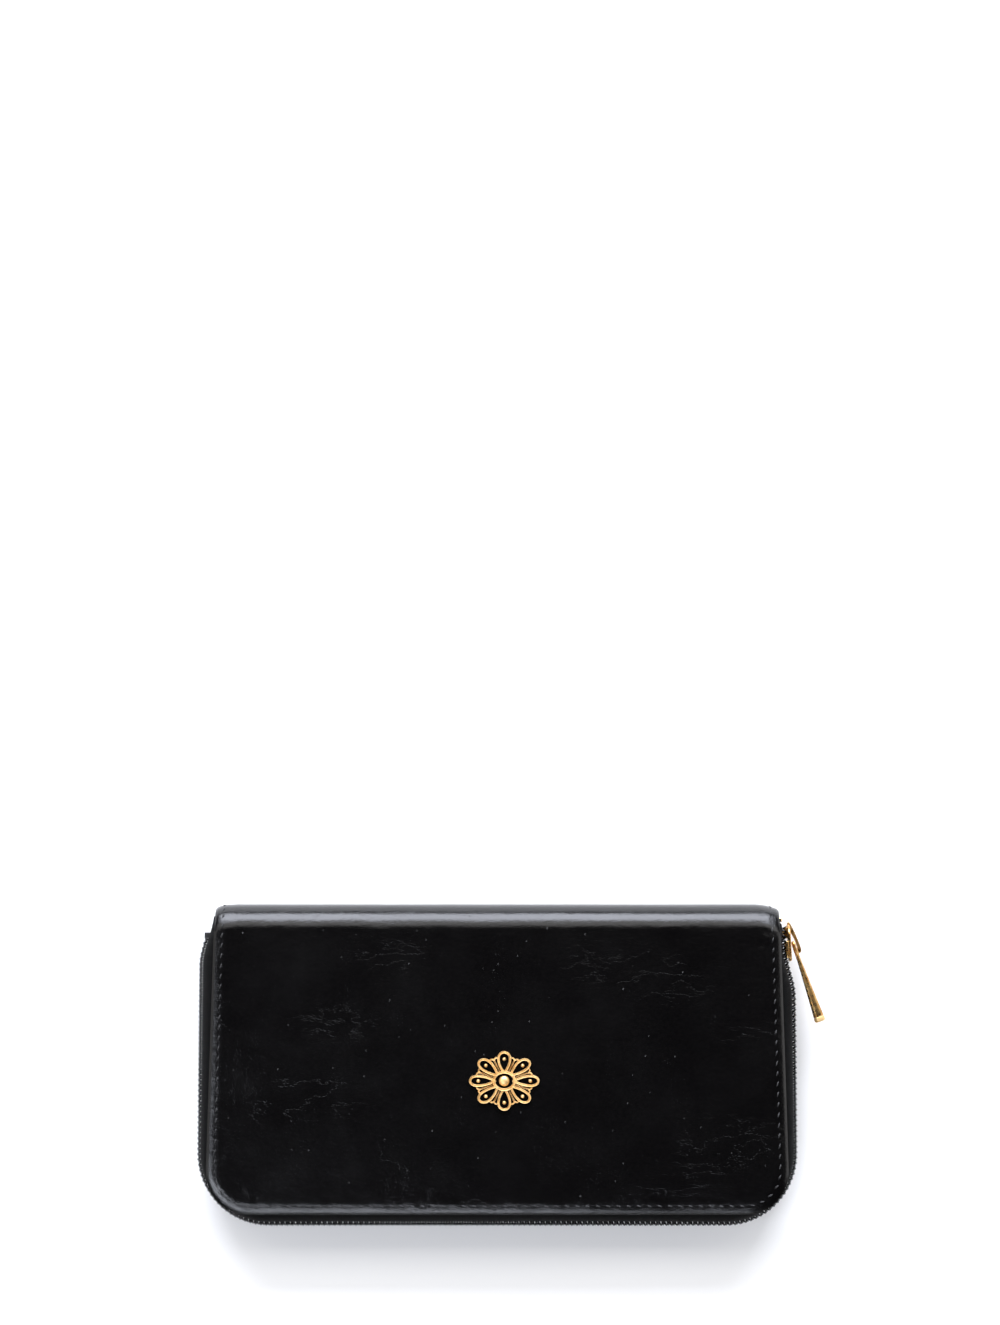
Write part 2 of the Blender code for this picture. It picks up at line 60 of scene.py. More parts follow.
# The wallet's own sizes, from the CAD nodes where they state them
COVER_LOW, COVER_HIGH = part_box("front_cover")
_, SPINE_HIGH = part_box("spine")
THICKNESS = COVER_HIGH.z
MID = THICKNESS / 2
SPINE_R = 9 * MM
SPINE_CENTRE_Y = SPINE_HIGH.y - SPINE_R
MOUTH_Y = COVER_LOW.y
HALF_AT_SPINE = SPINE_HIGH.x
HALF_AT_MOUTH = COVER_HIGH.x
CORNER_R = 14.5 * MM
LEATHER = 1.0 * MM
CAD_LEATHER = 1.2 * MM
GAP = 0.25 * MM

# Lengths along the outer leather, from the back's mouth edge round the spine to the front's
QUARTER = math.pi / 2 * SPINE_R
SPINE_FLAT = THICKNESS - 2 * SPINE_R
SPINE_ARC = 2 * QUARTER + SPINE_FLAT
FLAT_RUN = SPINE_CENTRE_Y - MOUTH_Y
WRAP_RUN = 2 * FLAT_RUN + SPINE_ARC

# Zip sizes; each bend draws the row in by its depth between two heights y
PITCH = 1.75 * MM
ROW_OUT = 1.30 * MM
WIRE_R = 0.33 * MM
CHAIN_X = 98.9 * MM
CHAIN_Y = -53.1 * MM
CHAIN_R = 22.8 * MM
CLOSED_END_BEND = (3.1 * MM, 21.5 * MM, 38.5 * MM)
FAR_END_BEND = (3.6 * MM, 32.0 * MM, 50.0 * MM)
TUCK = (2.0 * MM, 45.2 * MM, 48.0 * MM)
ROW_ENDS = (41.2 * MM, 45.0 * MM)
SPREAD = 1.1 * MM
PARTING = (37 * MM, 40 * MM)
TAPE_EDGE = 3.05 * MM
TAPE_UPRIGHT = 5.0 * MM
TAPE_THICK = 0.5 * MM
TAPE_BEHIND = 0.9 * MM
FLANGE_OUT = 1.5 * MM
FLANGE_IN = 8.5 * MM
TAIL_Y = 48.3 * MM

# Sliders: the pull's axis stands this far out from the zip's middle
PIVOT_OUT = 3.4 * MM
PLATE_LENGTH = 12.4 * MM
PULL_LENGTH = 27.9 * MM
PULL_LEAN = math.radians(18.8)
COIN_SCALE = 0.78
COIN_PULL_LENGTH = 11 * MM
COIN_PULL_LEAN = math.radians(3)
COIN_PITCH = 1.35 * MM
COIN_PARTING = (58 * MM, 60.5 * MM)

# The leather's edge is rounded off this far inside the CAD's plain cover
EDGE_TRIM = 0.40 * MM
STITCH_INSET = 2.85 * MM
STITCH_PITCH = 3.4 * MM
STITCH_LENGTH = 1.85 * MM
STITCH_R = 0.26 * MM
STITCH_SLANT = math.radians(-20)
HEM = 1.6 * MM


# ---- node materials
class Shader:
    """A Principled material and short calls that add nodes to it."""

    def __init__(self, name, colour, roughness, metallic=0.0, **sockets):
        self.material = bpy.data.materials.new(name)
        self.material.use_nodes = True
        self.tree = self.material.node_tree
        self.base = self.tree.nodes["Principled BSDF"]
        self.set("Base Color", (*colour, 1.0))
        self.set("Roughness", roughness)
        self.set("Metallic", metallic)
        for socket, value in sockets.items():
            self.set(socket.replace("_", " "), value)

    def set(self, socket, value):
        self.base.inputs[socket].default_value = value

    def node(self, kind, links=(), **settings):
        made = self.tree.nodes.new(kind)
        for key, value in settings.items():
            if hasattr(made, key):
                setattr(made, key, value)
            else:
                made.inputs[key.replace("_", " ")].default_value = value
        for socket, source in dict(links).items():
            self.tree.links.new(source, made.inputs[socket])
        return made

    def link(self, source, socket):
        self.tree.links.new(source, self.base.inputs[socket])

    def colour(self, share, low, high):
        self.link(self.mix(share, low, high), "Base Color")

    def gloss(self, place, size, low, high, detail=2.0):
        """A roughness that wanders between about two values."""
        self.link(self.span(self.noise(place, size, detail), 0.3, 0.7, low, high), "Roughness")

    def place(self, own_uv, stretch=(1, 1, 1), turn=0.0):
        """Coordinates in metres: a made mesh's own UV map, or the object's space on a CAD node."""
        source = self.node("ShaderNodeTexCoord").outputs["UV" if own_uv else "Object"]
        mapping = self.node("ShaderNodeMapping", {"Vector": source})
        mapping.inputs["Scale"].default_value = stretch
        mapping.inputs["Rotation"].default_value = (0, 0, turn)
        return mapping.outputs[0]

    def noise(self, place, size, detail=2.0, roughness=0.5):
        sockets = {"Scale": 1 / size, "Detail": detail, "Roughness": roughness}
        return self.node("ShaderNodeTexNoise", {"Vector": place}, **sockets).outputs["Fac"]

    def cells(self, place, size, feature="F1"):
        made = self.node("ShaderNodeTexVoronoi", {"Vector": place}, feature=feature, Scale=1 / size)
        return made.outputs["Distance"]

    def wave(self, place, size, direction="X"):
        """Bands that repeat at that size: at a scale of 1 they repeat every pi / 10."""
        scale = math.pi / 10 / size
        made = self.node("ShaderNodeTexWave", {"Vector": place}, bands_direction=direction, Scale=scale)
        return made.outputs["Fac"]

    def span(self, value, low, high, to_low=0.0, to_high=1.0):
        made = self.node("ShaderNodeMapRange", {"Value": value})
        limits = {"From Min": low, "From Max": high, "To Min": to_low, "To Max": to_high}
        for socket, number in limits.items():
            made.inputs[socket].default_value = number
        return made.outputs[0]

    def maths(self, operation, a, b):
        made = self.node("ShaderNodeMath", operation=operation)
        for socket, value in zip(made.inputs, (a, b)):
            if isinstance(value, (int, float)):
                socket.default_value = value
            else:
                self.tree.links.new(value, socket)
        return made.outputs[0]

    def mix(self, share, low, high):
        made = self.node("ShaderNodeMix", {"Factor": share}, data_type="RGBA")
        made.inputs["A"].default_value = (*low, 1.0)
        made.inputs["B"].default_value = (*high, 1.0)
        return made.outputs["Result"]

    def hairlines(self, place, size, patch):
        """Thin wandering lines, where a slower noise lets them through."""
        level = self.maths("SUBTRACT", self.noise(place, size, 5, 0.6), 0.5)
        line = self.span(self.maths("ABSOLUTE", level, 0.0), 0.0, 0.008, 1.0, 0.0)
        shown = self.span(self.noise(place, patch, 1), 0.52, 0.62)
        return self.maths("MULTIPLY", line, shown)

    def bump(self, layers):
        """Bumps laid one on another: each layer is a height and its depth in metres."""
        below = None
        for height, depth in layers:
            made = self.node("ShaderNodeBump", {"Height": height}, Strength=1.0, Distance=depth)
            if below:
                self.tree.links.new(below, made.inputs["Normal"])
            below = made.outputs[0]
        self.link(below, "Normal")


def cover_leather():
    """Smooth black leather: fine pores, faint hairline creases and slightly uneven gloss."""
    coat = {"Coat_Weight": 0.06, "Coat_Roughness": 0.16}
    made = Shader("cover_leather", (0.0010, 0.0010, 0.0010), 0.24, Specular_IOR_Level=0.36, **coat)
    place = made.place(True)
    pores = made.cells(place, 0.55 * MM)
    grain = made.noise(place, 1.3 * MM, 4, 0.65)
    slow = made.noise(place, 14 * MM, 2)
    folds = made.noise(made.place(True, (0.35, 1, 1)), 4.0 * MM, 3, 0.55)
    hairlines = made.hairlines(made.place(True, (0.45, 1, 1)), 7 * MM, 26 * MM)
    scuffs = made.hairlines(made.place(True, (1.6, 0.5, 1), math.radians(24)), 5 * MM, 19 * MM)
    specks = made.span(made.cells(place, 4.5 * MM), 0.0, 0.06, 1.0, 0.0)
    made.bump(
        [
            (slow, 0.00014),
            (made.span(folds, 0.45, 0.75), 0.00003),
            (grain, 0.000060),
            (made.span(pores, 0.0, 0.5), 0.000016),
            (hairlines, -0.000014),
            (scuffs, -0.000007),
            (specks, 0.000110),
        ]
    )
    patches = made.noise(place, 22 * MM, 4, 0.6)
    made.link(made.span(patches, 0.3, 0.75, 0.17, 0.25), "Roughness")
    made.colour(made.span(grain, 0.35, 0.7), (0.0008, 0.0007, 0.0008), (0.0018, 0.0015, 0.0016))
    return made.material


def edge_paint():
    """The painted cut edge of the leather."""
    made = Shader("edge_paint", (0.008, 0.008, 0.009), 0.34, Coat_Weight=0.3, Coat_Roughness=0.14)
    place = made.place(True)
    made.bump([(made.noise(place, 2.5 * MM, 3), 0.00006)])
    made.gloss(place, 5 * MM, 0.28, 0.42)
    return made.material


def inside_leather():
    """The pockets' and lining's black leather: an embossed grain and no gloss coat."""
    made = Shader("inside_leather", (0.011, 0.011, 0.012), 0.42)
    place = made.place(True)
    grain = made.cells(place, 0.9 * MM, "SMOOTH_F1")
    fine = made.noise(place, 0.6 * MM, 3)
    made.bump([(made.noise(place, 11 * MM), 0.0002), (grain, 0.00005), (fine, 0.00002)])
    made.gloss(place, 9 * MM, 0.34, 0.52, 3)
    made.colour(made.span(grain, 0.1, 0.7), (0.007, 0.007, 0.008), (0.016, 0.016, 0.017))
    return made.material


def tape_cloth():
    """Black polyester tape: a herringbone weave along the tape's length."""
    made = Shader("zip_tape", (0.0015, 0.0015, 0.0015), 0.75, Specular_IOR_Level=0.09)
    rib = made.wave(made.place(True), 0.55 * MM, "Y")
    slant = made.wave(made.place(True, turn=math.radians(42)), 0.42 * MM, "X")
    other = made.wave(made.place(True, turn=math.radians(-42)), 0.42 * MM, "X")
    side = made.span(made.wave(made.place(True), 3.2 * MM, "Y"), 0.45, 0.55)
    weave = made.node("ShaderNodeMix", {"Factor": side, "A": slant, "B": other}).outputs["Result"]
    made.bump([(rib, 0.00010), (weave, 0.00018)])
    made.colour(made.span(weave, 0.2, 0.9), (0.0006, 0.0006, 0.0006), (0.0032, 0.0030, 0.0030))
    return made.material


def coil_nylon():
    """The zip rows' smooth black monofilament."""
    made = Shader("zip_coil", (0.0008, 0.0008, 0.0009), 0.12, Specular_IOR_Level=0.5)
    place = made.place(False)
    made.bump([(made.noise(place, 0.5 * MM), 0.00002)])
    made.gloss(place, 3 * MM, 0.09, 0.17)
    return made.material


def sewing_thread():
    """Black waxed thread with its twist."""
    made = Shader("thread", (0.006, 0.006, 0.007), 0.22)
    twist = made.wave(made.place(True, turn=math.radians(35)), 0.28 * MM)
    made.bump([(twist, 0.00006)])
    made.colour(twist, (0.003, 0.003, 0.003), (0.014, 0.014, 0.016))
    return made.material


def polished_gold():
    """The small metal pieces' bright gold."""
    made = Shader("gold_metal", (0.86, 0.64, 0.33), 0.14, 1.0)
    place = made.place(False)
    scratch = made.noise(made.place(False, (0.2, 1.6, 1)), 0.5 * MM, 4, 0.7)
    made.bump([(made.noise(place, 3.0 * MM), 0.00005), (scratch, 0.000004)])
    made.link(made.span(made.noise(place, 2.2 * MM, 4), 0.3, 0.75, 0.10, 0.24), "Roughness")
    tint = made.span(made.noise(place, 6 * MM), 0.35, 0.65)
    made.colour(tint, (0.83, 0.60, 0.29), (0.90, 0.70, 0.40))
    return made.material


def brushed_gold():
    """The slider's and pull's plating: a deeper gold, softened by wear; its colour is darkened as painted
    shade, standing for the dark surroundings the metal reflects.
    """
    made = Shader("brushed_gold", (0.60, 0.38, 0.14), 0.3, 1.0)
    place = made.place(False)
    brushing = made.noise(made.place(False, (1.5, 0.15, 1)), 0.35 * MM, 3, 0.6)
    made.bump([(made.noise(place, 2.4 * MM), 0.000012), (brushing, 0.000003)])
    made.link(made.span(made.noise(place, 1.6 * MM, 3), 0.3, 0.75, 0.22, 0.36), "Roughness")
    # Painted shade: the tint's dark gold stands for the dark surroundings reflected in the metal
    tint = made.span(made.noise(place, 2.2 * MM, 3), 0.35, 0.65)
    made.colour(tint, (0.50, 0.25, 0.075), (0.68, 0.44, 0.18))
    return made.material


def satin_gold():
    """The ornament's plating: a soft, finely grained gold that spreads the light."""
    made = Shader("satin_gold", (0.90, 0.62, 0.30), 0.5, 1.0)
    place = made.place(False)
    made.bump([(made.noise(place, 1.6 * MM, 3), 0.00006), (made.noise(place, 0.25 * MM, 2), 0.000008)])
    made.gloss(place, 1.8 * MM, 0.42, 0.60, 3)
    tint = made.span(made.noise(place, 3 * MM, 3), 0.35, 0.7)
    made.colour(tint, (0.73, 0.47, 0.19), (0.87, 0.63, 0.32))
    return made.material


def black_enamel():
    """The lacquer on the small zip stop that closes the far end."""
    made = Shader("stop_enamel", (0.004, 0.004, 0.004), 0.35)
    made.gloss(made.place(False), 0.8 * MM, 0.28, 0.42)
    return made.material


def board_card():
    """Grey-brown fibre card."""
    made = Shader("stiffener_board", (0.18, 0.15, 0.12), 0.9)
    fibres = made.noise(made.place(False, (0.3, 1, 1)), 0.7 * MM, 5, 0.7)
    made.bump([(fibres, 0.00008)])
    made.colour(fibres, (0.13, 0.105, 0.08), (0.25, 0.21, 0.17))
    return made.material


FINISH = {
    "leather": cover_leather(),
    "edge": edge_paint(),
    "inside": inside_leather(),
    "tape": tape_cloth(),
    "coil": coil_nylon(),
    "thread": sewing_thread(),
    "gold": polished_gold(),
    "brushed": brushed_gold(),
    "satin": satin_gold(),
    "enamel": black_enamel(),
    "board": board_card(),
}


# ---- mesh tools
def new_object(name, data):
    """An object in the scene that shows a mesh, a lamp or a camera."""
    made = bpy.data.objects.new(name, data)
    bpy.context.scene.collection.objects.link(made)
    return made


def make_object(name, vertices, faces, finish, uv=None, sharp=35):
    """A smooth-shaded object. uv holds one pair for each corner of each face, in order."""
    mesh = bpy.data.meshes.new(name)
    mesh.from_pydata([tuple(v) for v in vertices], [], faces)
    if uv is not None:
        layer = mesh.uv_layers.new(name="UVMap")
        layer.data.foreach_set("uv", np.asarray(uv, np.float32).ravel())
    for key in (finish,) if isinstance(finish, str) else finish:
        mesh.materials.append(FINISH[key])
    mesh.shade_smooth()
    mesh.set_sharp_from_angle(angle=math.radians(sharp))
    return new_object(name, mesh)


def run_lengths(points, axis):
    """Mean lengths along a grid's rows or columns, from its first point."""
    steps = np.linalg.norm(np.diff(points, axis=axis), axis=2).mean(axis=1 - axis)
    return np.concatenate([[0], np.cumsum(steps)])


def grid_parts(points, wrap=False, caps=False):
    """Vertices, faces and UVs in metres of a surface through points[row][column]."""
    if wrap:
        looped = np.concatenate([points, points[:, :1]], axis=1)
    else:
        looped = points
    rows, columns = points.shape[:2]
    down, across = run_lengths(looped, 0), run_lengths(looped, 1)
    index = np.arange(rows * columns).reshape(rows, columns)
    if wrap:
        index = np.concatenate([index, index[:, :1]], axis=1)
    r, c = np.meshgrid(np.arange(rows - 1), np.arange(index.shape[1] - 1), indexing="ij")
    corners = [(r, c), (r, c + 1), (r + 1, c + 1), (r + 1, c)]
    faces = np.stack([index[a, b] for a, b in corners], axis=-1).reshape(-1, 4).tolist()
    uv = np.stack([np.stack([across[b], down[a]], axis=-1) for a, b in corners], axis=2).reshape(-1, 2)
    if caps:
        ends = [index[0, :columns][::-1], index[-1, :columns]]
        faces += [end.tolist() for end in ends]
        uv = np.concatenate([uv, np.zeros((2 * columns, 2))])
    return points.reshape(-1, 3), faces, uv


def grid_object(name, points, finish, caps=True, sharp=35):
    """A solid from rings of points."""
    vertices, faces, uv = grid_parts(points, wrap=True, caps=caps)
    return outward(make_object(name, vertices, faces, finish, uv, sharp))


def stands_for(made, finish, *nodes):
    """The nodes whose place a piece takes, which it hides; its slot for materials is not used."""
    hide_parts(*nodes)


def outward(made):
    """Turns a closed mesh's faces to point out."""
    work = bmesh.new()
    work.from_mesh(made.data)
    bmesh.ops.recalc_face_normals(work, faces=work.faces)
    if work.calc_volume(signed=True) < 0:
        bmesh.ops.reverse_faces(work, faces=work.faces)
    work.to_mesh(made.data)
    work.free()
    return made


def applied(made):
    """Applies the object's modifiers, so that its mesh is final."""
    graph = bpy.context.evaluated_depsgraph_get()
    final = made.evaluated_get(graph)
    mesh = bpy.data.meshes.new_from_object(final, preserve_all_data_layers=True, depsgraph=graph)
    made.modifiers.clear()
    made.data = mesh
    mesh.shade_smooth()
    mesh.set_sharp_from_angle(angle=math.radians(50))
    return made


def bevelled(made, width, segments=3, angle=30):
    """Rounds an object's hard edges."""
    bevel = made.modifiers.new("round", "BEVEL")
    bevel.width = width
    bevel.segments = segments
    bevel.limit_method = "ANGLE"
    bevel.angle_limit = math.radians(angle)
    return applied(made)


def thickened(name, points, thick, finish, round_edge=0.35):
    """A sheet of leather: a surface through points with its outer face there, given thickness inwards."""
    vertices, faces, uv = grid_parts(points)
    made = make_object(name, vertices, faces, finish, uv)
    solid = made.modifiers.new("thick", "SOLIDIFY")
    solid.thickness = thick
    solid.offset = -1
    solid.use_quality_normals = True
    solid.material_offset_rim = 1 if len(made.data.materials) > 1 else 0
    return bevelled(made, thick * round_edge, angle=50)


def joined(name, made):
    """One object from several."""
    work = bmesh.new()
    for piece in made:
        work.from_mesh(piece.data)
    mesh = made[0].data.copy()
    work.to_mesh(mesh)
    work.free()
    for piece in made:
        bpy.data.objects.remove(piece, do_unlink=True)
    return new_object(name, mesh)


def unit(vectors):
    return vectors / np.linalg.norm(vectors, axis=1, keepdims=True)


def lengths_along(points):
    steps = np.linalg.norm(np.diff(points, axis=0), axis=1)
    return np.concatenate([[0], np.cumsum(steps)])


def values_at(wanted, along, rows):
    """Rows of numbers, one for each length in along, read between them at the wanted lengths."""
    return np.stack([np.interp(wanted, along, column) for column in rows.T], axis=1)


def sweep(path, section, up, closed=False, scales=None):
    """Points of a tube: a section of (side, up) pairs carried along a path."""
    path = np.asarray(path, float)
    if closed:
        ahead, behind = np.roll(path, -1, axis=0), np.roll(path, 1, axis=0)
    else:
        ahead, behind = np.concatenate([path[1:], path[-1:]]), np.concatenate([path[:1], path[:-1]])
    way = unit(ahead - behind)
    up = np.broadcast_to(np.asarray(up, float), path.shape)
    side = unit(np.cross(way, up))
    top = np.cross(side, way)
    scales = np.ones(len(path)) if scales is None else scales
    sized = np.asarray(section, float)[None] * scales[:, None, None]
    rings = path[:, None] + side[:, None] * sized[..., :1] + top[:, None] * sized[..., 1:]
    return np.concatenate([rings, rings[:1]]) if closed else rings


def oval(half_side, half_up, sides):
    """A tube's section for sweep."""
    turns = np.linspace(0, 2 * math.pi, sides, endpoint=False)
    return np.stack([half_side * np.cos(turns), half_up * np.sin(turns)], axis=1)


def ease(value, start, end):
    """0 before the start and 1 beyond the end, with a smooth rise between them."""
    share = np.clip((np.asarray(value, float) - start) / (end - start), 0, 1)
    return share * share * (3 - 2 * share)


def bell(value, centre, reach):
    return np.exp(-(((value - centre) / reach) ** 2))


def waves(x, y, seed, size, octaves=3):
    """Smooth made-up unevenness between about -1 and 1, the same on each run."""
    draw = np.random.default_rng(seed)
    total = np.zeros(np.broadcast(x, y).shape)
    ways = 5
    for octave in range(octaves):
        for _ in range(ways):
            angle, phase = draw.uniform(0, 2 * math.pi, 2)
            step = 2 * math.pi * 2**octave / size * draw.uniform(0.7, 1.3)
            across = x * math.cos(angle) + y * math.sin(angle)
            total += np.sin(step * across + phase) / (ways * 1.7**octave) * 1.6
    return total


# ---- outlines in plan
def half_width(y):
    """Half the cover's width at that height: it widens a little from the spine to the mouth's corners."""
    share = (SPINE_HIGH.y - y) / (SPINE_HIGH.y - (MOUTH_Y + CORNER_R))
    return HALF_AT_SPINE + (HALF_AT_MOUTH - HALF_AT_SPINE) * np.minimum(share, 1.0)


def chain_x(y, side):
    """How far out the zip's rows run at that height on the right-hand or left-hand side."""
    bends = (CLOSED_END_BEND, TUCK) if side > 0 else (FAR_END_BEND,)
    return CHAIN_X - sum(depth * ease(y, start, end) for depth, start, end in bends)


def mouth_line(side_x, mouth_y, radius, top_y):
    """Points round three sides, from the left end at top_y, round the mouth, to the right end."""
    along_mouth, round_corner, up_side = 40, 16, 60
    start_y = mouth_y + radius
    halves = []
    for side in (-1, 1):
        corner_x = side_x(start_y, side) - radius
        flat = np.linspace(0, corner_x, along_mouth, endpoint=False)
        turns = np.linspace(0, math.pi / 2, round_corner, endpoint=False)
        heights = np.linspace(start_y, top_y, up_side)
        xs = [flat, corner_x + radius * np.sin(turns), side_x(heights, side)]
        ys = [np.full(len(flat), mouth_y), start_y - radius * np.cos(turns), heights]
        halves.append(np.stack([side * np.concatenate(xs), np.concatenate(ys)], axis=1))
    return np.concatenate([halves[0][:0:-1], halves[1]])


def cover_line(inset, top_y):
    return mouth_line(lambda y, side: half_width(y) - inset, MOUTH_Y + inset, CORNER_R - inset, top_y)


def chain_line(top_y):
    return mouth_line(chain_x, CHAIN_Y, CHAIN_R, top_y)


# ---- outer leather
def wrap_place(run):
    """Where the outer leather is after that length from the back's mouth edge: y, z and its normal."""
    past = np.asarray(run, float) - FLAT_RUN
    turn = np.clip(past / SPINE_R, 0, math.pi / 2) - math.pi / 2
    turn += np.clip((past - QUARTER - SPINE_FLAT) / SPINE_R, 0, math.pi / 2)
    y = np.where(past < 0, SPINE_CENTRE_Y + past, SPINE_CENTRE_Y + SPINE_R * np.cos(turn))
    y = np.where(past > SPINE_ARC, SPINE_CENTRE_Y - (past - SPINE_ARC), y)
    z = SPINE_R + SPINE_R * np.sin(turn) + np.clip(past - QUARTER, 0, SPINE_FLAT)
    return y, z, np.cos(turn), np.sin(turn)


def straight_half(near_end):
    """Half the leather's length that far from its nearer mouth edge, round corners left out."""
    return np.where(near_end < FLAT_RUN, half_width(MOUTH_Y + near_end), HALF_AT_SPINE) - EDGE_TRIM


def wrap_half(run):
    """Half the leather's length at that run, round corners included."""
    near_end = np.minimum(run, WRAP_RUN - run)
    inside = np.clip(CORNER_R - near_end, 0, CORNER_R)
    return straight_half(near_end) - (CORNER_R - np.sqrt(CORNER_R**2 - inside**2))


def edge_distance(x, run):
    """How far inside the leather's cut edge a point is."""
    near_end = np.minimum(run, WRAP_RUN - run)
    straight = straight_half(near_end) - np.abs(x)
    plain = np.minimum(straight, near_end)
    reach = np.hypot(np.clip(CORNER_R - straight, 0, None), np.clip(CORNER_R - near_end, 0, None))
    return np.where((straight < CORNER_R) & (near_end < CORNER_R), CORNER_R - reach, plain)


# Small dents beside the stitches: x, distance from the front's mouth edge, reach and depth, in mm
PUCKERS = (
    (87.5, 88.5, 2.6, 0.09),
    (-89.0, 62.0, 3.0, 0.05),
    (-60.0, 4.6, 3.0, 0.05),
    (30.0, 4.8, 3.4, 0.05),
)


def mouth_sag(x, run):
    """The front cover sags beside its right-hand mouth corner."""
    from_mouth = WRAP_RUN - np.asarray(run)
    return 0.60 * MM * bell(x, 66 * MM, 20 * MM) * (1 - ease(from_mouth, 2 * MM, 12 * MM))


def wrap_surface(x, run):
    """The outer face of the leather: it sinks towards its sewn edge and creases where it is pulled."""
    y, z, out_y, out_z = wrap_place(run)
    inside = edge_distance(x, run)
    # A fall towards the cut edge, and a faint groove under the stitches
    drop = 0.80 * MM * np.clip(1 - inside / (4.4 * MM), 0, 1) ** 1.8
    drop += 0.12 * MM * np.clip(1 - inside / (1.2 * MM), 0, 1) ** 2
    drop += 0.022 * MM * bell(inside, STITCH_INSET, 0.35 * MM)
    # Creases on the spine's shoulders, slow unevenness all over, and puckers along the seam
    from_spine = np.abs(run - WRAP_RUN / 2)
    creases = waves(x * 0.55, run, 3, 13 * MM) * ease(inside, 0.5 * MM, 5 * MM)
    drop += 0.05 * MM * bell(from_spine, 18.5 * MM, 5 * MM) * creases
    drop += 0.04 * MM * waves(x, run, 5, 60 * MM, 2) * ease(inside, 1 * MM, 8 * MM)
    drop += 0.04 * MM * bell(inside, 4.5 * MM, 3 * MM) * waves(x, run, 9, 8 * MM, 2)
    for pucker_x, pucker_run, reach, depth in PUCKERS:
        away = np.hypot(x - pucker_x * MM, (run - WRAP_RUN + pucker_run * MM) * 1.8) / (reach * MM)
        drop += depth * MM * bell(away, 0, 1) * (0.6 + 0.4 * np.sin(away * 7))
    drop += mouth_sag(x, run)
    # The spine's ends are drawn in a little and turn round to the cut edge
    end = HALF_AT_SPINE - np.abs(x)
    at_spine = 1 - ease(from_spine, 13 * MM, 20 * MM)
    corner = np.clip(1 - end / (1.8 * MM), 0, 0.96)
    droop = np.where(x > 0, 0.80 * MM, 0.25 * MM) * (1 - ease(end, 1 * MM, 8.5 * MM))
    drop += at_spine * (droop + 0.9 * MM * (1 - np.sqrt(1 - corner**2)))
    drop = np.maximum(drop, 0.0)
    points = np.stack([x, y - out_y * drop, z - out_z * drop], axis=-1)
    return points, np.stack([0 * x, out_y, out_z], axis=-1)


def wrap_rows():
    """Runs from mouth edge to mouth edge, closer together at the corners and round the spine."""
    turns = np.linspace(0, math.pi / 2, 42)
    corner = CORNER_R * (1 - np.cos(turns))
    flat = np.linspace(CORNER_R, FLAT_RUN - 10 * MM, 56)[1:]
    arc = np.linspace(FLAT_RUN - 10 * MM, WRAP_RUN / 2, 64)[1:]
    half = np.concatenate([corner, flat, arc])
    return np.concatenate([half, (WRAP_RUN - half[::-1])[1:]])


def spine_blend(made):
    """Bakes the object's placement into its mesh."""
    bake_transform(made)


def make_outer_leather():
    runs = wrap_rows()
    share = np.linspace(-1, 1, 301)
    across = np.sign(share) * (1 - (1 - np.abs(share)) ** 1.5)
    run = np.broadcast_to(runs[:, None], (len(runs), len(across)))
    x = wrap_half(runs)[:, None] * across[None, :]
    points, _ = wrap_surface(x, run)
    made = thickened("outer_leather", points[:, ::-1], LEATHER, ("leather", "edge"), 0.32)
    spine_blend(made)
    stands_for(made, "leather", "back_cover", "spine", "front_cover")


# ---- stitching
def resampled(points, pitch):
    """Evenly spaced points and directions along a polyline."""
    along = lengths_along(points)
    count = max(int(round(along[-1] / pitch)), 1)
    wanted = (np.arange(count) + 0.5) * along[-1] / count
    step = 0.2 * pitch
    way = values_at(wanted + step, along, points) - values_at(wanted - step, along, points)
    return values_at(wanted, along, points), unit(way)


def stitch_parts(places, ways, ups, length, radius, slant=0.0):
    """Raised thread stitches: each one a short rope whose two ends dive into the leather."""
    steps = np.linspace(-1, 1, 9)
    bend = np.stack([steps * length / 2, 0 * steps, radius * (0.3 - 1.6 * np.abs(steps) ** 3)], axis=1)
    taper = 0.55 + 0.45 * np.sqrt(1 - steps**2 * 0.9)
    template = sweep(bend, oval(radius, radius * 0.85, 8), (0, 0, 1), scales=taper)
    vertices, faces, uv = grid_parts(template, wrap=True, caps=True)
    sides = np.cross(ups, ways)
    turned = ways * math.cos(slant) + sides * math.sin(slant)
    across = np.cross(ups, turned)
    all_points = (
        places[:, None]
        + turned[:, None] * vertices[None, :, :1]
        + across[:, None] * vertices[None, :, 1:2]
        + ups[:, None] * vertices[None, :, 2:]
    ).reshape(-1, 3)
    all_faces = [[i + k * len(vertices) for i in face] for k in range(len(places)) for face in faces]
    return all_points, all_faces, np.tile(uv, (len(places), 1))


def wrap_loop(inset):
    """The stitch line over the whole leather, as (x, run) points: a closed loop with four round corners."""
    radius = CORNER_R - inset
    turns = np.linspace(0, math.pi / 2, 16)
    corner_x = HALF_AT_MOUTH - EDGE_TRIM - CORNER_R
    quarter = np.stack([corner_x + radius * np.sin(turns), CORNER_R - radius * np.cos(turns)], axis=1)
    runs = np.linspace(CORNER_R, WRAP_RUN / 2, 90)[1:]
    side = np.stack([wrap_half(runs) - inset, runs], axis=1)
    right = np.concatenate([quarter, side])
    other = np.stack([right[:, 0], WRAP_RUN - right[:, 1]], axis=1)[::-1][1:]
    right = np.concatenate([right, other])
    left = np.stack([-right[:, 0], right[:, 1]], axis=1)[::-1]
    return np.concatenate([right, left, right[:1]])


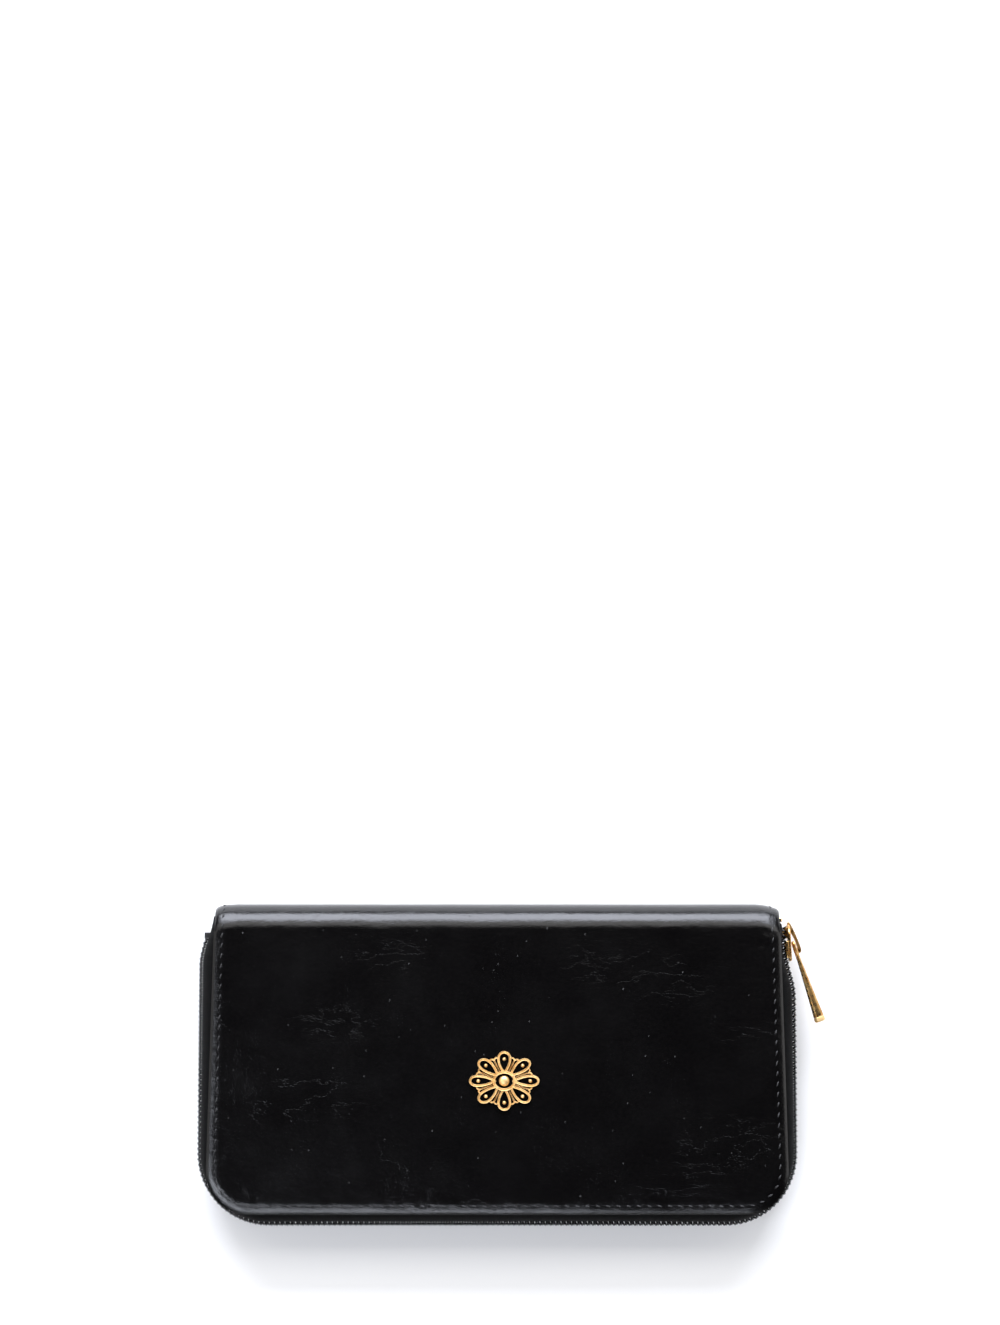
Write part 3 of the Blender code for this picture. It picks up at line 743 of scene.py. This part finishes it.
def make_cover_stitching():
    line, _ = resampled(wrap_loop(STITCH_INSET), 0.5 * MM)
    surface, normal = wrap_surface(line[:, 0], line[:, 1])
    along = lengths_along(surface)
    count = int(round(along[-1] / STITCH_PITCH))
    wanted = np.arange(count) * along[-1] / count
    places = values_at(wanted, along, surface)
    ways = unit(values_at(wanted + 0.4 * MM, along, surface) - places)
    ups = values_at(wanted, along, normal)
    vertices, faces, uv = stitch_parts(places, ways, ups, STITCH_LENGTH, STITCH_R, STITCH_SLANT)
    spine_blend(outward(make_object("cover_stitching", vertices, faces, "thread", uv, 60)))


# ---- zip round the mouth
def front_blend(made):
    """Bakes the front half of the zip's placement into its mesh."""
    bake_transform(made)


def carry(made, body):
    """Rides on that body, or has its placement baked into its mesh if there is none."""
    if body:
        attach(made, body)
    else:
        front_blend(made)


def tape_edge(x, y):
    """How far a tape's edge stays from the middle: less at the closed end, more where the rows part."""
    closed = TAPE_EDGE + (0.2 * MM - TAPE_EDGE) * ease(y, 43.4 * MM, 45.0 * MM)
    parted = TAPE_EDGE + SPREAD * ease(y, *PARTING)
    return np.where(x < 0, closed, parted)


def make_tape(name, body, node):
    """From its edge at the row, out and down to the cover, and in under the cover to its sewn flange."""
    chain = chain_line(TAIL_Y)
    outer = cover_line(FLANGE_OUT, TAIL_Y)
    out = unit(outer - cover_line(FLANGE_IN, TAIL_Y))
    reach = np.linalg.norm(chain - outer, axis=1)
    way = (chain - outer) / reach[:, None]
    radius = SPINE_R - CAD_LEATHER - GAP - TAPE_THICK / 2
    low = SPINE_R - np.sqrt(radius**2 - np.maximum(outer[:, 1] - SPINE_CENTRE_Y, 0) ** 2)
    if not body:
        low = low + 0.55 * mouth_sag(outer[:, 0], WRAP_RUN - (outer[:, 1] - MOUTH_Y))
    edge = tape_edge(chain[:, 0], chain[:, 1])
    upright = MID - np.maximum(TAPE_UPRIGHT, edge + 0.5 * MM)
    turns = np.linspace(0, math.pi / 2, 12)
    bulge = 1 + 0.05 * np.sin(2 * turns)
    behind = reach - TAPE_BEHIND
    n = [behind, behind]
    z = [MID - edge, (MID - edge + upright) / 2]
    n += [behind * math.cos(t) * b for t, b in zip(turns, bulge)]
    z += [low + (upright - low) * (1 - math.sin(t)) for t in turns]
    n += [np.full(len(reach), (FLANGE_OUT - FLANGE_IN) * k / 3) for k in (1, 2, 3)]
    z += [low] * 3
    n, z = np.stack(n, axis=1), np.stack(z, axis=1)
    step_n, step_z = np.gradient(n, axis=1), np.gradient(z, axis=1)
    size = np.hypot(step_n, step_z)
    side_n, side_z = -step_z / size * TAPE_THICK / 2, step_n / size * TAPE_THICK / 2
    ring_n = np.concatenate([n + side_n, (n - side_n)[:, ::-1]], axis=1)
    ring_z = np.concatenate([z + side_z, (z - side_z)[:, ::-1]], axis=1)
    beyond = np.maximum(ring_n, 0)[..., None] * way[:, None]
    under = np.minimum(ring_n, 0)[..., None] * out[:, None]
    plan = outer[:, None] + beyond + under
    points = np.concatenate([plan, (ring_z if body else THICKNESS - ring_z)[..., None]], axis=-1)
    made = grid_object(name, points, "tape", sharp=60)
    carry(made, body)
    stands_for(made, "tape", node)


def coil_points(line, stand_off, sign, phase, scale=1.0, pitch=PITCH):
    """A nylon coil wound along a line in plan, one row of the zip, on one side of the middle."""
    per_turn = 12
    half_across, half_up = 0.86 * MM * scale, 1.50 * MM * scale
    even, ways = resampled(line, pitch / per_turn)
    turn = 2 * math.pi * np.arange(len(even)) / per_turn + phase
    out = np.stack([ways[:, 1], -ways[:, 0]], axis=1)
    middle = ROW_OUT * scale + stand_off(even[:, 0], even[:, 1])
    flat = even + out * (half_across * np.cos(turn))[:, None]
    path = np.column_stack([flat, MID + sign * (middle + half_up * np.sin(turn))])
    centre = np.column_stack([even, MID + sign * middle])
    return sweep(path, oval(WIRE_R * scale, WIRE_R * scale, 6), path - centre)


def make_coil(name, points, node):
    made = grid_object(name, points, "coil", sharp=80)
    stands_for(made, "coil", node)
    return made


def spread(x, y):
    """How far the main rows stand apart behind the slider, which is at the right-hand end."""
    return np.where(x > 0, SPREAD * ease(y, *PARTING), 0.0)


def coin_spread(x, y):
    return SPREAD * COIN_SCALE * ease(x, *COIN_PARTING)


def make_zip():
    left_end, right_end = ROW_ENDS
    line = chain_line(right_end)
    line = line[(line[:, 0] > 0) | (line[:, 1] < left_end)]
    for side, body, sign, phase in (("back", "back", -1, math.pi), ("front", None, 1, 0.0)):
        make_tape(f"tape_{side}", body, f"zip_tape_{side}")
        points = coil_points(line, spread, sign, phase)
        carry(make_coil(f"coil_{side}", points, f"zip_coil_{side}"), body)


# ---- metal pieces
def from_node(name, node, body, width, finish):
    """A copy of a plain CAD piece with its edges rounded, which stands for it."""
    mesh = frame["nodes"][node].data.copy()
    made = new_object(name, mesh)
    work = bmesh.new()
    work.from_mesh(mesh)
    bmesh.ops.remove_doubles(work, verts=work.verts, dist=1e-6)
    bmesh.ops.dissolve_limit(work, angle_limit=math.radians(2), verts=work.verts, edges=work.edges)
    work.to_mesh(mesh)
    work.free()
    mesh.materials.clear()
    mesh.materials.append(FINISH[finish])
    bevelled(made, width)
    carry(made, body)
    stands_for(made, finish, node)


def plate(name, outline, low, high):
    """A flat plate across X with an outline of (y, z) points."""
    rings = np.array([[(x, y, z) for y, z in outline] for x in (low, high)])
    return grid_object(name, rings, "brushed")


def shield(nose_half, tail_half):
    """A slider plate's outline in (y, z): round at the nose, narrower at the tail."""
    half_length, tail_r = PLATE_LENGTH / 2, 1.6 * MM
    outline = []
    for i in range(17):
        turn = math.pi * i / 16
        y = half_length - nose_half * 0.8 * (1 - math.sin(turn))
        outline.append((y, nose_half * math.cos(turn)))
    for i in range(7):
        turn = math.pi / 2 * i / 6
        y = tail_r * (1 - math.sin(turn)) - half_length
        outline.append((y, tail_r * (1 - math.cos(turn)) - tail_half))
    for y, z in outline[:16:-1]:
        outline.append((y, -z))
    return outline


# The crown from the side in mm: its outer edge from nose to tip, then back along its inner edge
CROWN_SIDE = (
    (1.75, 5.7), (1.70, 6.4), (1.95, 6.85), (2.30, 6.9), (2.80, 6.3), (3.45, 5.0), (4.10, 3.4),
    (4.65, 1.9), (5.15, 0.5), (5.60, -0.9), (5.95, -2.2), (6.00, -2.9), (5.75, -3.5), (5.25, -3.7),
    (4.85, -3.3), (4.75, -2.6), (4.75, -1.8), (4.55, -0.8), (4.20, 0.3), (3.70, 1.5), (3.10, 2.8),
    (2.45, 4.0), (1.95, 5.2),
)
# A slider's wedge, its plates' faces and their half widths at the nose and the tail, in mm
WEDGE = ((1.4, 0), (2.6, 0.75), (5.2, 0.8), (5.2, -0.8), (2.6, -0.75))
OUTER_PLATE = (1.6, 2.5)
INNER_PLATE = (-2.4, -1.6)
PLATE_HALVES = (4.75, 3.9)
COIN_INNER_HALVES = (2.1, 2.1)
# A lip's outline (y, z), and the main slider's two lips and the coin slider's one: their faces, in mm
LIP = ((-5.2, 3.35), (0.5, 3.95), (0.5, 4.55), (-5.2, 3.85))
LIPS = {"": ((0.75, 1.7), (-1.7, -0.75)), "coin_": ((0.75, 1.7),)}


def make_slider(prefix, place, inner_halves, lean, length):
    """Slider body with lips, crown, pull stem with its eye, and the pull's end cap."""
    body_parts = []
    for faces, halves in ((OUTER_PLATE, PLATE_HALVES), (INNER_PLATE, inner_halves)):
        nose, tail = halves
        body_parts.append(plate("plate", shield(nose * MM, tail * MM), *(x * MM for x in faces)))
    body_parts.append(plate("wedge", [(y * MM, z * MM) for y, z in WEDGE], -2 * MM, 2 * MM))
    for sign in (-1, 1):
        outline = [(y * MM, sign * z * MM) for y, z in LIP]
        for low, high in LIPS[prefix]:
            body_parts.append(plate("lip", outline, low * MM, high * MM))
    body = joined(f"{prefix}slider", [bevelled(piece, 0.26 * MM) for piece in body_parts])
    crown = np.array([[(x * MM, y * MM, z * MM) for x, y in CROWN_SIDE] for z in (-1.2, 1.2)])
    crown = grid_object(f"{prefix}crown", crown, "brushed")
    bevelled(crown, 0.30 * MM, 4, 40)

    eye_half, eye_far, eye_r = 2.15 * MM, 5.2 * MM, 0.50 * MM
    path = rounded_loop([(0, -eye_half), (eye_far, -eye_half), (eye_far, eye_half), (0, eye_half)], 0.9 * MM)
    path = np.array([(x, 0, z) for x, z in path])
    eye = sweep(path, oval(eye_r, eye_r, 12), (0, 1, 0), closed=True)
    eye = grid_object("eye", eye, "brushed", caps=False)
    start, end = 5.0 * MM, length - 1.75 * MM
    shares = np.linspace(0, 1, 24)
    stem = bar("stem", start + (end - start) * shares, (0.66 + 1.06 * shares**1.15) * MM, "brushed")
    cap_x = end + np.array([0.05, 0.20, 0.60, 1.20, 1.55, 1.72]) * MM
    cap_half = np.array([1.66, 1.78, 1.82, 1.80, 1.62, 1.25]) * MM
    cap = bar(f"{prefix}pull_end", cap_x, cap_half, "satin")
    pull = joined(f"{prefix}pull", [stem, eye])
    turn = place @ Matrix.Translation((PIVOT_OUT, 0, 0)) @ Matrix.Rotation(lean - math.pi / 2, 4, "Z")
    for made, matrix, body_name, node in (
        (body, place, "slider", "slider_body"),
        (crown, place, "slider", "slider_crown"),
        (pull, turn, "pull", "pull_stem"),
        (cap, turn, "pull", "pull_cap"),
    ):
        made.data.transform(matrix)
        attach(made, prefix + body_name)
        stands_for(made, "gold", prefix + node)


def bar(name, xs, halves, finish):
    """A bar along X with a flat top and bottom and chamfered edges; halves are its half widths."""
    ring = np.array([(0.52, 1.0), (1.0, 0.42), (1.0, -0.42), (0.52, -1.0)])
    ring = np.concatenate([ring, -ring])
    highs = 0.55 * MM + 0.42 * halves
    rings = [[(x, y * half, z * high) for y, z in ring] for x, half, high in zip(xs, halves, highs)]
    return bevelled(grid_object(name, np.array(rings), finish), 0.12 * MM)


def rounded_loop(corners, radius):
    """A closed loop of 2D points with its corners rounded."""
    steps = 6
    points = []
    for i, corner in enumerate(corners):
        corner = Vector(corner)
        before = (Vector(corners[i - 1]) - corner).normalized()
        after = (Vector(corners[(i + 1) % len(corners)]) - corner).normalized()
        centre = corner + (before + after) * radius
        for k in range(steps + 1):
            turn = math.pi / 2 * k / steps
            inwards = after * math.cos(turn) + before * math.sin(turn)
            points.append(tuple(centre - inwards * radius))
    return points


def lathe(name, profile, sides):
    """A round solid about X from (x, radius) points; it starts and ends on the axis."""
    axis_r = 1e-6
    section = oval(1, 1, sides)
    rings = [[(x, max(r, axis_r) * c, max(r, axis_r) * s) for c, s in section] for x, r in profile]
    return grid_object(name, np.array(rings), "satin", sharp=50)


def slider_place(joint, turn):
    """Where a slider's middle is, for its pull's axis to be the joint's."""
    pivot = Vector(JOINTS[joint]["pos_m"])
    return Matrix.Translation(pivot - turn @ Vector((PIVOT_OUT, 0, 0))) @ turn


def make_sliders():
    travel = Vector(JOINTS["slider_travel"]["axis"])
    tilt = math.atan2(travel.x, -travel.y)
    place = slider_place("pull_swing", Matrix.Rotation(tilt, 4, "Z"))
    make_slider("", place, PLATE_HALVES, PULL_LEAN - tilt, PULL_LENGTH)
    turn = Matrix.Rotation(-math.pi / 2, 4, "Z") @ Matrix.Scale(COIN_SCALE, 4)
    place = slider_place("coin_pull_swing", turn)
    make_slider("coin_", place, COIN_INNER_HALVES, COIN_PULL_LEAN, COIN_PULL_LENGTH / COIN_SCALE)


# ---- ornament
PETALS = 8


def strap(half, high):
    """A flat band's section, from its foot: sloped edges and a shallow groove along its face."""
    side = [(1, 0), (1, 0.5), (0.88, 0.86), (0.70, 1.0), (0.44, 0.96), (0.22, 0.76), (0, 0.70)]
    other = [(-x, y) for x, y in side[-2::-1]]
    return np.array([(x * half, y * high) for x, y in side + other])


def turned(points, turn):
    """Points given as (out, across) of a petal, turned to that petal's direction."""
    c, s = math.cos(turn), math.sin(turn)
    return [(out * c - across * s, out * s + across * c) for out, across in points]


def petal_loop():
    """A petal's outline, narrow at its foot."""
    turns = np.linspace(0, 2 * math.pi, 48, endpoint=False)
    return [(0.62 - 0.325 * math.cos(t), 0.150 * math.sin(t) * (1 - 0.42 * math.cos(t))) for t in turns]


def scroll(sign):
    """Half of the fork between two petals: a stem that rolls outwards into a curl."""
    points = []
    for share in np.linspace(0, 1, 30):
        spin = 1.45 * math.pi * share
        radius = 0.082 * (1 - 0.45 * share)
        points.append((0.72 + radius * math.sin(spin), sign * (0.082 - radius * math.cos(spin))))
    return [(0.30, 0.0), (0.45, 0.0), (0.60, 0.0)] + points


def upright(name, profile, sides, foot):
    """A round solid that stands on its foot."""
    made = lathe(name, profile, sides)
    made.data.transform(Matrix.Translation(foot) @ Matrix.Rotation(-math.pi / 2, 4, "Y"))
    return made


def make_emblem():
    """An openwork rosette of eight looped petals with scrolls between them round a domed boss."""
    low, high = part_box("emblem")
    centre = (low + high) / 2
    half_x, half_y = (high.x - low.x) / 2, (high.y - low.y) / 2
    foot_z = THICKNESS + 0.35 * MM

    def band(points, half, thick, closed=True, scales=None, lift=0.0):
        path = [(centre.x + half_x * x, centre.y + half_y * y, foot_z + lift) for x, y in points]
        grid = sweep(np.array(path), strap(half, thick), (0, 0, 1), closed, scales)
        return grid_object("band", grid, "satin", not closed, 40)

    def dome(x, y, radius, thick, sides):
        profile = [(0, 0), (0, 1), (0.2, 1.0), (0.5, 0.93), (0.8, 0.72), (0.95, 0.42), (1, 0.15), (1, 0)]
        profile = [(h * thick, r * radius) for h, r in profile]
        return upright("dome", profile, sides, (centre.x + half_x * x, centre.y + half_y * y, foot_z))

    made = []
    taper = np.concatenate([np.linspace(0.8, 1.0, 3), np.linspace(1.0, 0.7, 30)])
    for k in range(PETALS):
        turn = 2 * math.pi * k / PETALS
        made.append(band(turned(petal_loop(), turn), 0.43 * MM, 0.85 * MM, lift=0.12 * MM * (k % 2)))
        made.append(dome(*turned([(0.72, 0)], turn)[0], 0.62 * MM, 0.9 * MM, 16))
        between = turn + math.pi / PETALS
        for sign in (-1, 1):
            made.append(band(turned(scroll(sign), between), 0.29 * MM, 0.62 * MM, False, taper))
    made.append(band(oval(0.29, 0.29, 64), 0.50 * MM, 1.0 * MM))
    made.append(dome(0, 0, 1.75 * MM, 1.25 * MM, 40))
    stud_r, stud_length, stud_out = 0.6 * MM, 1.8 * MM, 3.24 * MM
    stud = [(0, 0), (0, stud_r), (stud_length, stud_r), (stud_length, 0)]
    for side in (-1, 1):
        foot = (centre.x + side * stud_out, centre.y, THICKNESS - 1.25 * MM)
        made.append(upright("stud", stud, 20, foot))
    emblem = joined("ornament", made)
    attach(emblem, "front")
    stands_for(emblem, "gold", "emblem")


# ---- inside
def make_lining(side):
    """The lining of one half: a slightly uneven sheet with two round corners."""
    low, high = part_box(f"{side}_lining")
    inset = low.y - MOUTH_Y
    radius = CORNER_R - inset
    turns = np.linspace(0, math.pi / 2, 14)
    ys = np.concatenate([low.y + radius * (1 - np.cos(turns)), np.linspace(low.y + radius, high.y, 40)[1:]])
    corner = np.clip(low.y + radius - ys, 0, radius)
    half = half_width(ys) - inset - (radius - np.sqrt(radius**2 - corner**2))
    x = half[:, None] * np.linspace(-1, 1, 90)[None, :]
    y = np.broadcast_to(ys[:, None], x.shape)
    rise = 0.06 * MM * waves(x, y, 21 if side == "back" else 22, 30 * MM, 2)
    if side == "front":
        points = np.stack([x, y, low.z + rise], axis=-1)[:, ::-1]
    else:
        points = np.stack([x, y, high.z + rise], axis=-1)
    made = thickened(f"{side}_lining_leather", points, high.z - low.z, "inside")
    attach(made, side)
    stands_for(made, "inside", f"{side}_lining")


def make_strip(node, body, faces_up, seams=(0.0,)):
    """A pocket strip: a rolled hem along its mouth edge, sewn down at its ends and at its seams."""
    low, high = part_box(node)
    sign = 1 if faces_up else -1
    face_z = high.z if faces_up else low.z
    xs = np.linspace(low.x, high.x, 121)
    hem_end = low.y + 4 * MM
    ys = np.concatenate([np.linspace(low.y, hem_end, 14), np.linspace(hem_end, high.y, 24)[1:]])
    y, x = np.meshgrid(ys, xs, indexing="ij")
    nearest = np.minimum(high.x - np.abs(x), np.min([np.abs(x - seam) for seam in seams], axis=0))
    loose = ease(nearest, 0, 12 * MM) * (1 - ease(y, low.y, high.y))
    rise = 0.12 * MM * loose + 0.03 * MM * waves(x, y, 31, 20 * MM, 2)
    rise += 0.14 * MM * np.exp(-(((y - low.y - HEM * 0.5) / (HEM * 0.45)) ** 4))
    points = np.stack([x, y, face_z + sign * rise], axis=-1)[:, ::sign]
    made = thickened(f"{node}_leather", points, high.z - low.z, "inside", 0.45)
    lines = [[(low.x + 3 * MM, low.y + HEM), (high.x - 3 * MM, low.y + HEM)]]
    lines += [[(seam, low.y + 1 * MM), (seam, high.y - 2 * MM)] for seam in seams]
    stitches = []
    for line in lines:
        places, ways = resampled(np.array(line), 2.6 * MM)
        places = np.column_stack([places, np.full(len(places), face_z + sign * 0.06 * MM)])
        ways = np.column_stack([ways, np.zeros(len(ways))])
        ups = np.tile([0, 0, float(sign)], (len(places), 1))
        vertices, faces, uv = stitch_parts(places, ways, ups, 2.0 * MM, 0.16 * MM)
        stitches.append(outward(make_object("run", vertices, faces, "thread", uv, 60)))
    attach(joined(f"{node}_thread", stitches), body)
    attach(made, body)
    stands_for(made, "inside", node)


def make_spine_lining():
    low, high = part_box("spine_lining")
    xs = np.linspace(low.x, high.x, 160)
    run, x = np.meshgrid(np.linspace(FLAT_RUN, FLAT_RUN + SPINE_ARC, 60), xs, indexing="ij")
    y, z, out_y, out_z = wrap_place(run)
    inset = low.z + 0.5 * MM + 0.08 * MM * waves(x, run, 41, 16 * MM, 2)
    points = np.stack([x, y - out_y * inset, z - out_z * inset], axis=-1)
    made = thickened("spine_lining_leather", points, 0.5 * MM, "inside")
    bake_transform(made)
    stands_for(made, "inside", "spine_lining")


def smooth_line(points):
    """A curve that passes near a few points, rounding each fold."""
    steps = 8
    points = [Vector(p) for p in points]
    line = [points[0]]
    for before, corner, after in zip(points, points[1:], points[2:]):
        start, end = before.lerp(corner, 0.62), after.lerp(corner, 0.62)
        for k in range(steps + 1):
            t = k / steps
            line.append(start * (1 - t) ** 2 + corner * 2 * t * (1 - t) + end * t**2)
    line.append(points[-1])
    return line


def make_gusset(side, sign):
    node = f"gusset_{side}"
    low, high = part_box(node)
    outer = max(abs(low.x), abs(high.x)) - 0.25 * MM
    deep = min(abs(low.x), abs(high.x)) + 0.25 * MM
    rows = []
    for share in np.linspace(0, 1, 40):
        y = low.y + (high.y - low.y) * share
        fold = deep + (outer - 3.4 * MM - deep) * share
        first = low.z + 0.25 * MM
        lower = [(outer, first), (fold, 7.3 * MM), (fold, 7.9 * MM), (outer - 0.2 * MM, 9.6 * MM)]
        upper = [(x, THICKNESS - z) for x, z in reversed(lower)]
        line = smooth_line((*lower, (89.2 * MM, MID), *upper))
        ripple = 0.12 * MM * math.sin(37 * share + sign)
        rows.append([(sign * (p[0] + ripple * math.sin(0.4 * i)), y, p[1]) for i, p in enumerate(line)])
    points = np.array(rows)
    points = points if sign > 0 else points[:, ::-1]
    made = thickened(f"{node}_leather", points, 0.45 * MM, "inside", 0.4)
    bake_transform(made)
    stands_for(made, "inside", node)


def make_coin_side(side, sign):
    """One wall of the coin pocket with its zip tape and row; the front one faces up."""
    make_strip(f"coin_wall_{side}", "divider", sign > 0, seams=(-84 * MM, 84 * MM))
    low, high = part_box(f"coin_tape_{side}")
    y, x = np.meshgrid(np.linspace(low.y, high.y, 12), np.linspace(low.x, high.x, 150), indexing="ij")
    surface = (high.z if sign > 0 else low.z) + 0.03 * MM * waves(x, y, 51, 9 * MM, 2)
    points = np.stack([x, y, surface], axis=-1)[:, ::sign]
    made = thickened(f"coin_cloth_{side}", points, high.z - low.z, "tape", 0.3)
    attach(made, "divider")
    stands_for(made, "tape", f"coin_tape_{side}")
    low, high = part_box(f"coin_coil_{side}")
    line = np.array([(x, (low.y + high.y) / 2) for x in np.linspace(low.x, high.x, 200)])
    phase = 0.0 if sign > 0 else math.pi
    points = coil_points(line, coin_spread, sign, phase, COIN_SCALE, COIN_PITCH)
    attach(make_coil(f"coin_teeth_{side}", points, f"coin_coil_{side}"), "divider")


def make_inside():
    for side in ("back", "front"):
        make_lining(side)
        for k in (1, 2, 3):
            make_strip(f"{side}_card_strip_{k}", side, side == "back")
    make_spine_lining()
    make_gusset("left", -1)
    make_gusset("right", 1)
    make_coin_side("back", -1)
    make_coin_side("front", 1)
    from_node("coin_seam", "coin_pocket_seam", "divider", 0.2 * MM, "inside")
    for node, body, finish in (
        ("top_stop_back", "back", "gold"),
        ("top_stop_front", None, "gold"),
        ("bottom_stop", "back", "enamel"),
        ("coin_top_stop_back", "divider", "gold"),
        ("coin_top_stop_front", "divider", "gold"),
        ("coin_bottom_stop", "divider", "gold"),
    ):
        from_node(f"{node}_metal", node, body, 0.3 * MM, finish)
    for node, finish in (
        ("front_board", "board"),
        ("back_board", "board"),
        ("emblem_nut_left", "gold"),
        ("emblem_nut_right", "gold"),
    ):
        shown = frame["nodes"][node]
        shown.data.materials.clear()
        shown.data.materials.append(FINISH[finish])


# ---- studio
def make_floor():
    """A plain pale floor under the wallet."""
    made = Shader("floor", (0.865, 0.855, 0.835), 0.55)
    made.gloss(made.place(False), 30 * MM, 0.5, 0.6)
    FINISH["floor"] = made.material
    reach = 4.0
    corners = [(-reach, -reach, 0), (reach, -reach, 0), (reach, reach, 0), (-reach, reach, 0)]
    make_object("floor", corners, [(0, 1, 2, 3)], "floor")


def soft_light(name, place, size, power, colour):
    """A lamp with a rectangular face, aimed at the wallet's middle."""
    data = bpy.data.lights.new(name, "AREA")
    data.shape = "RECTANGLE"
    data.size, data.size_y = size
    data.energy = power
    data.color = colour
    lamp = new_object(name, data)
    lamp.location = place
    lamp.rotation_euler = (-Vector(place)).to_track_quat("-Z", "Y").to_euler()


def make_world():
    """A pale studio round the horizon with a dark ceiling."""
    world = bpy.data.worlds.new("studio")
    bpy.context.scene.world = world
    world.use_nodes = True
    tree = world.node_tree
    place = tree.nodes.new("ShaderNodeTexCoord")
    split = tree.nodes.new("ShaderNodeSeparateXYZ")
    ramp = tree.nodes.new("ShaderNodeValToRGB")
    tree.links.new(place.outputs["Generated"], split.inputs[0])
    tree.links.new(split.outputs["Z"], ramp.inputs[0])
    tree.links.new(ramp.outputs[0], tree.nodes["Background"].inputs[0])
    stops = ((0.30, (0.16, 0.16, 0.17, 1)), (0.70, (0.012, 0.012, 0.012, 1)))
    for element, (position, shade) in zip(ramp.color_ramp.elements, stops):
        element.position = position
        element.color = shade


def make_camera():
    """Straight above the wallet, tipped a little past its spine, as far off as a long lens stands."""
    data = bpy.data.cameras.new("camera")
    data.lens = 100
    data.sensor_width = 36
    camera = new_object("camera", data)
    camera_x = 0.9 * MM
    camera.location = (camera_x, 0, 1.25)
    aim = Vector((camera_x, 133 * MM, THICKNESS))
    camera.rotation_euler = (aim - camera.location).to_track_quat("-Z", "Y").to_euler()
    bpy.context.scene.camera = camera


def make_studio():
    make_floor()
    make_world()
    make_camera()
    bpy.context.scene.view_settings.view_transform = "Standard"
    cool, pale = (0.86, 0.90, 1.0), (1.0, 0.99, 0.98)
    soft_light("behind", (0, 1.31, 0.73), (1.7, 0.86), 66, cool)
    soft_light("above", (0, 0.76, 1.20), (3.0, 0.50), 13, pale)
    soft_light("left", (-1.45, 0.1, 0.66), (0.8, 1.3), 3.5, pale)
    soft_light("right", (1.45, 0.1, 0.66), (0.8, 1.3), 6, pale)
    soft_light("before", (0, -1.45, 0.72), (1.6, 0.5), 2.5, pale)
    soft_light("front", (-0.45, -0.56, 1.20), (1.4, 0.17), 14, cool)


make_outer_leather()
make_cover_stitching()
make_zip()
make_sliders()
make_emblem()
make_inside()
make_studio()
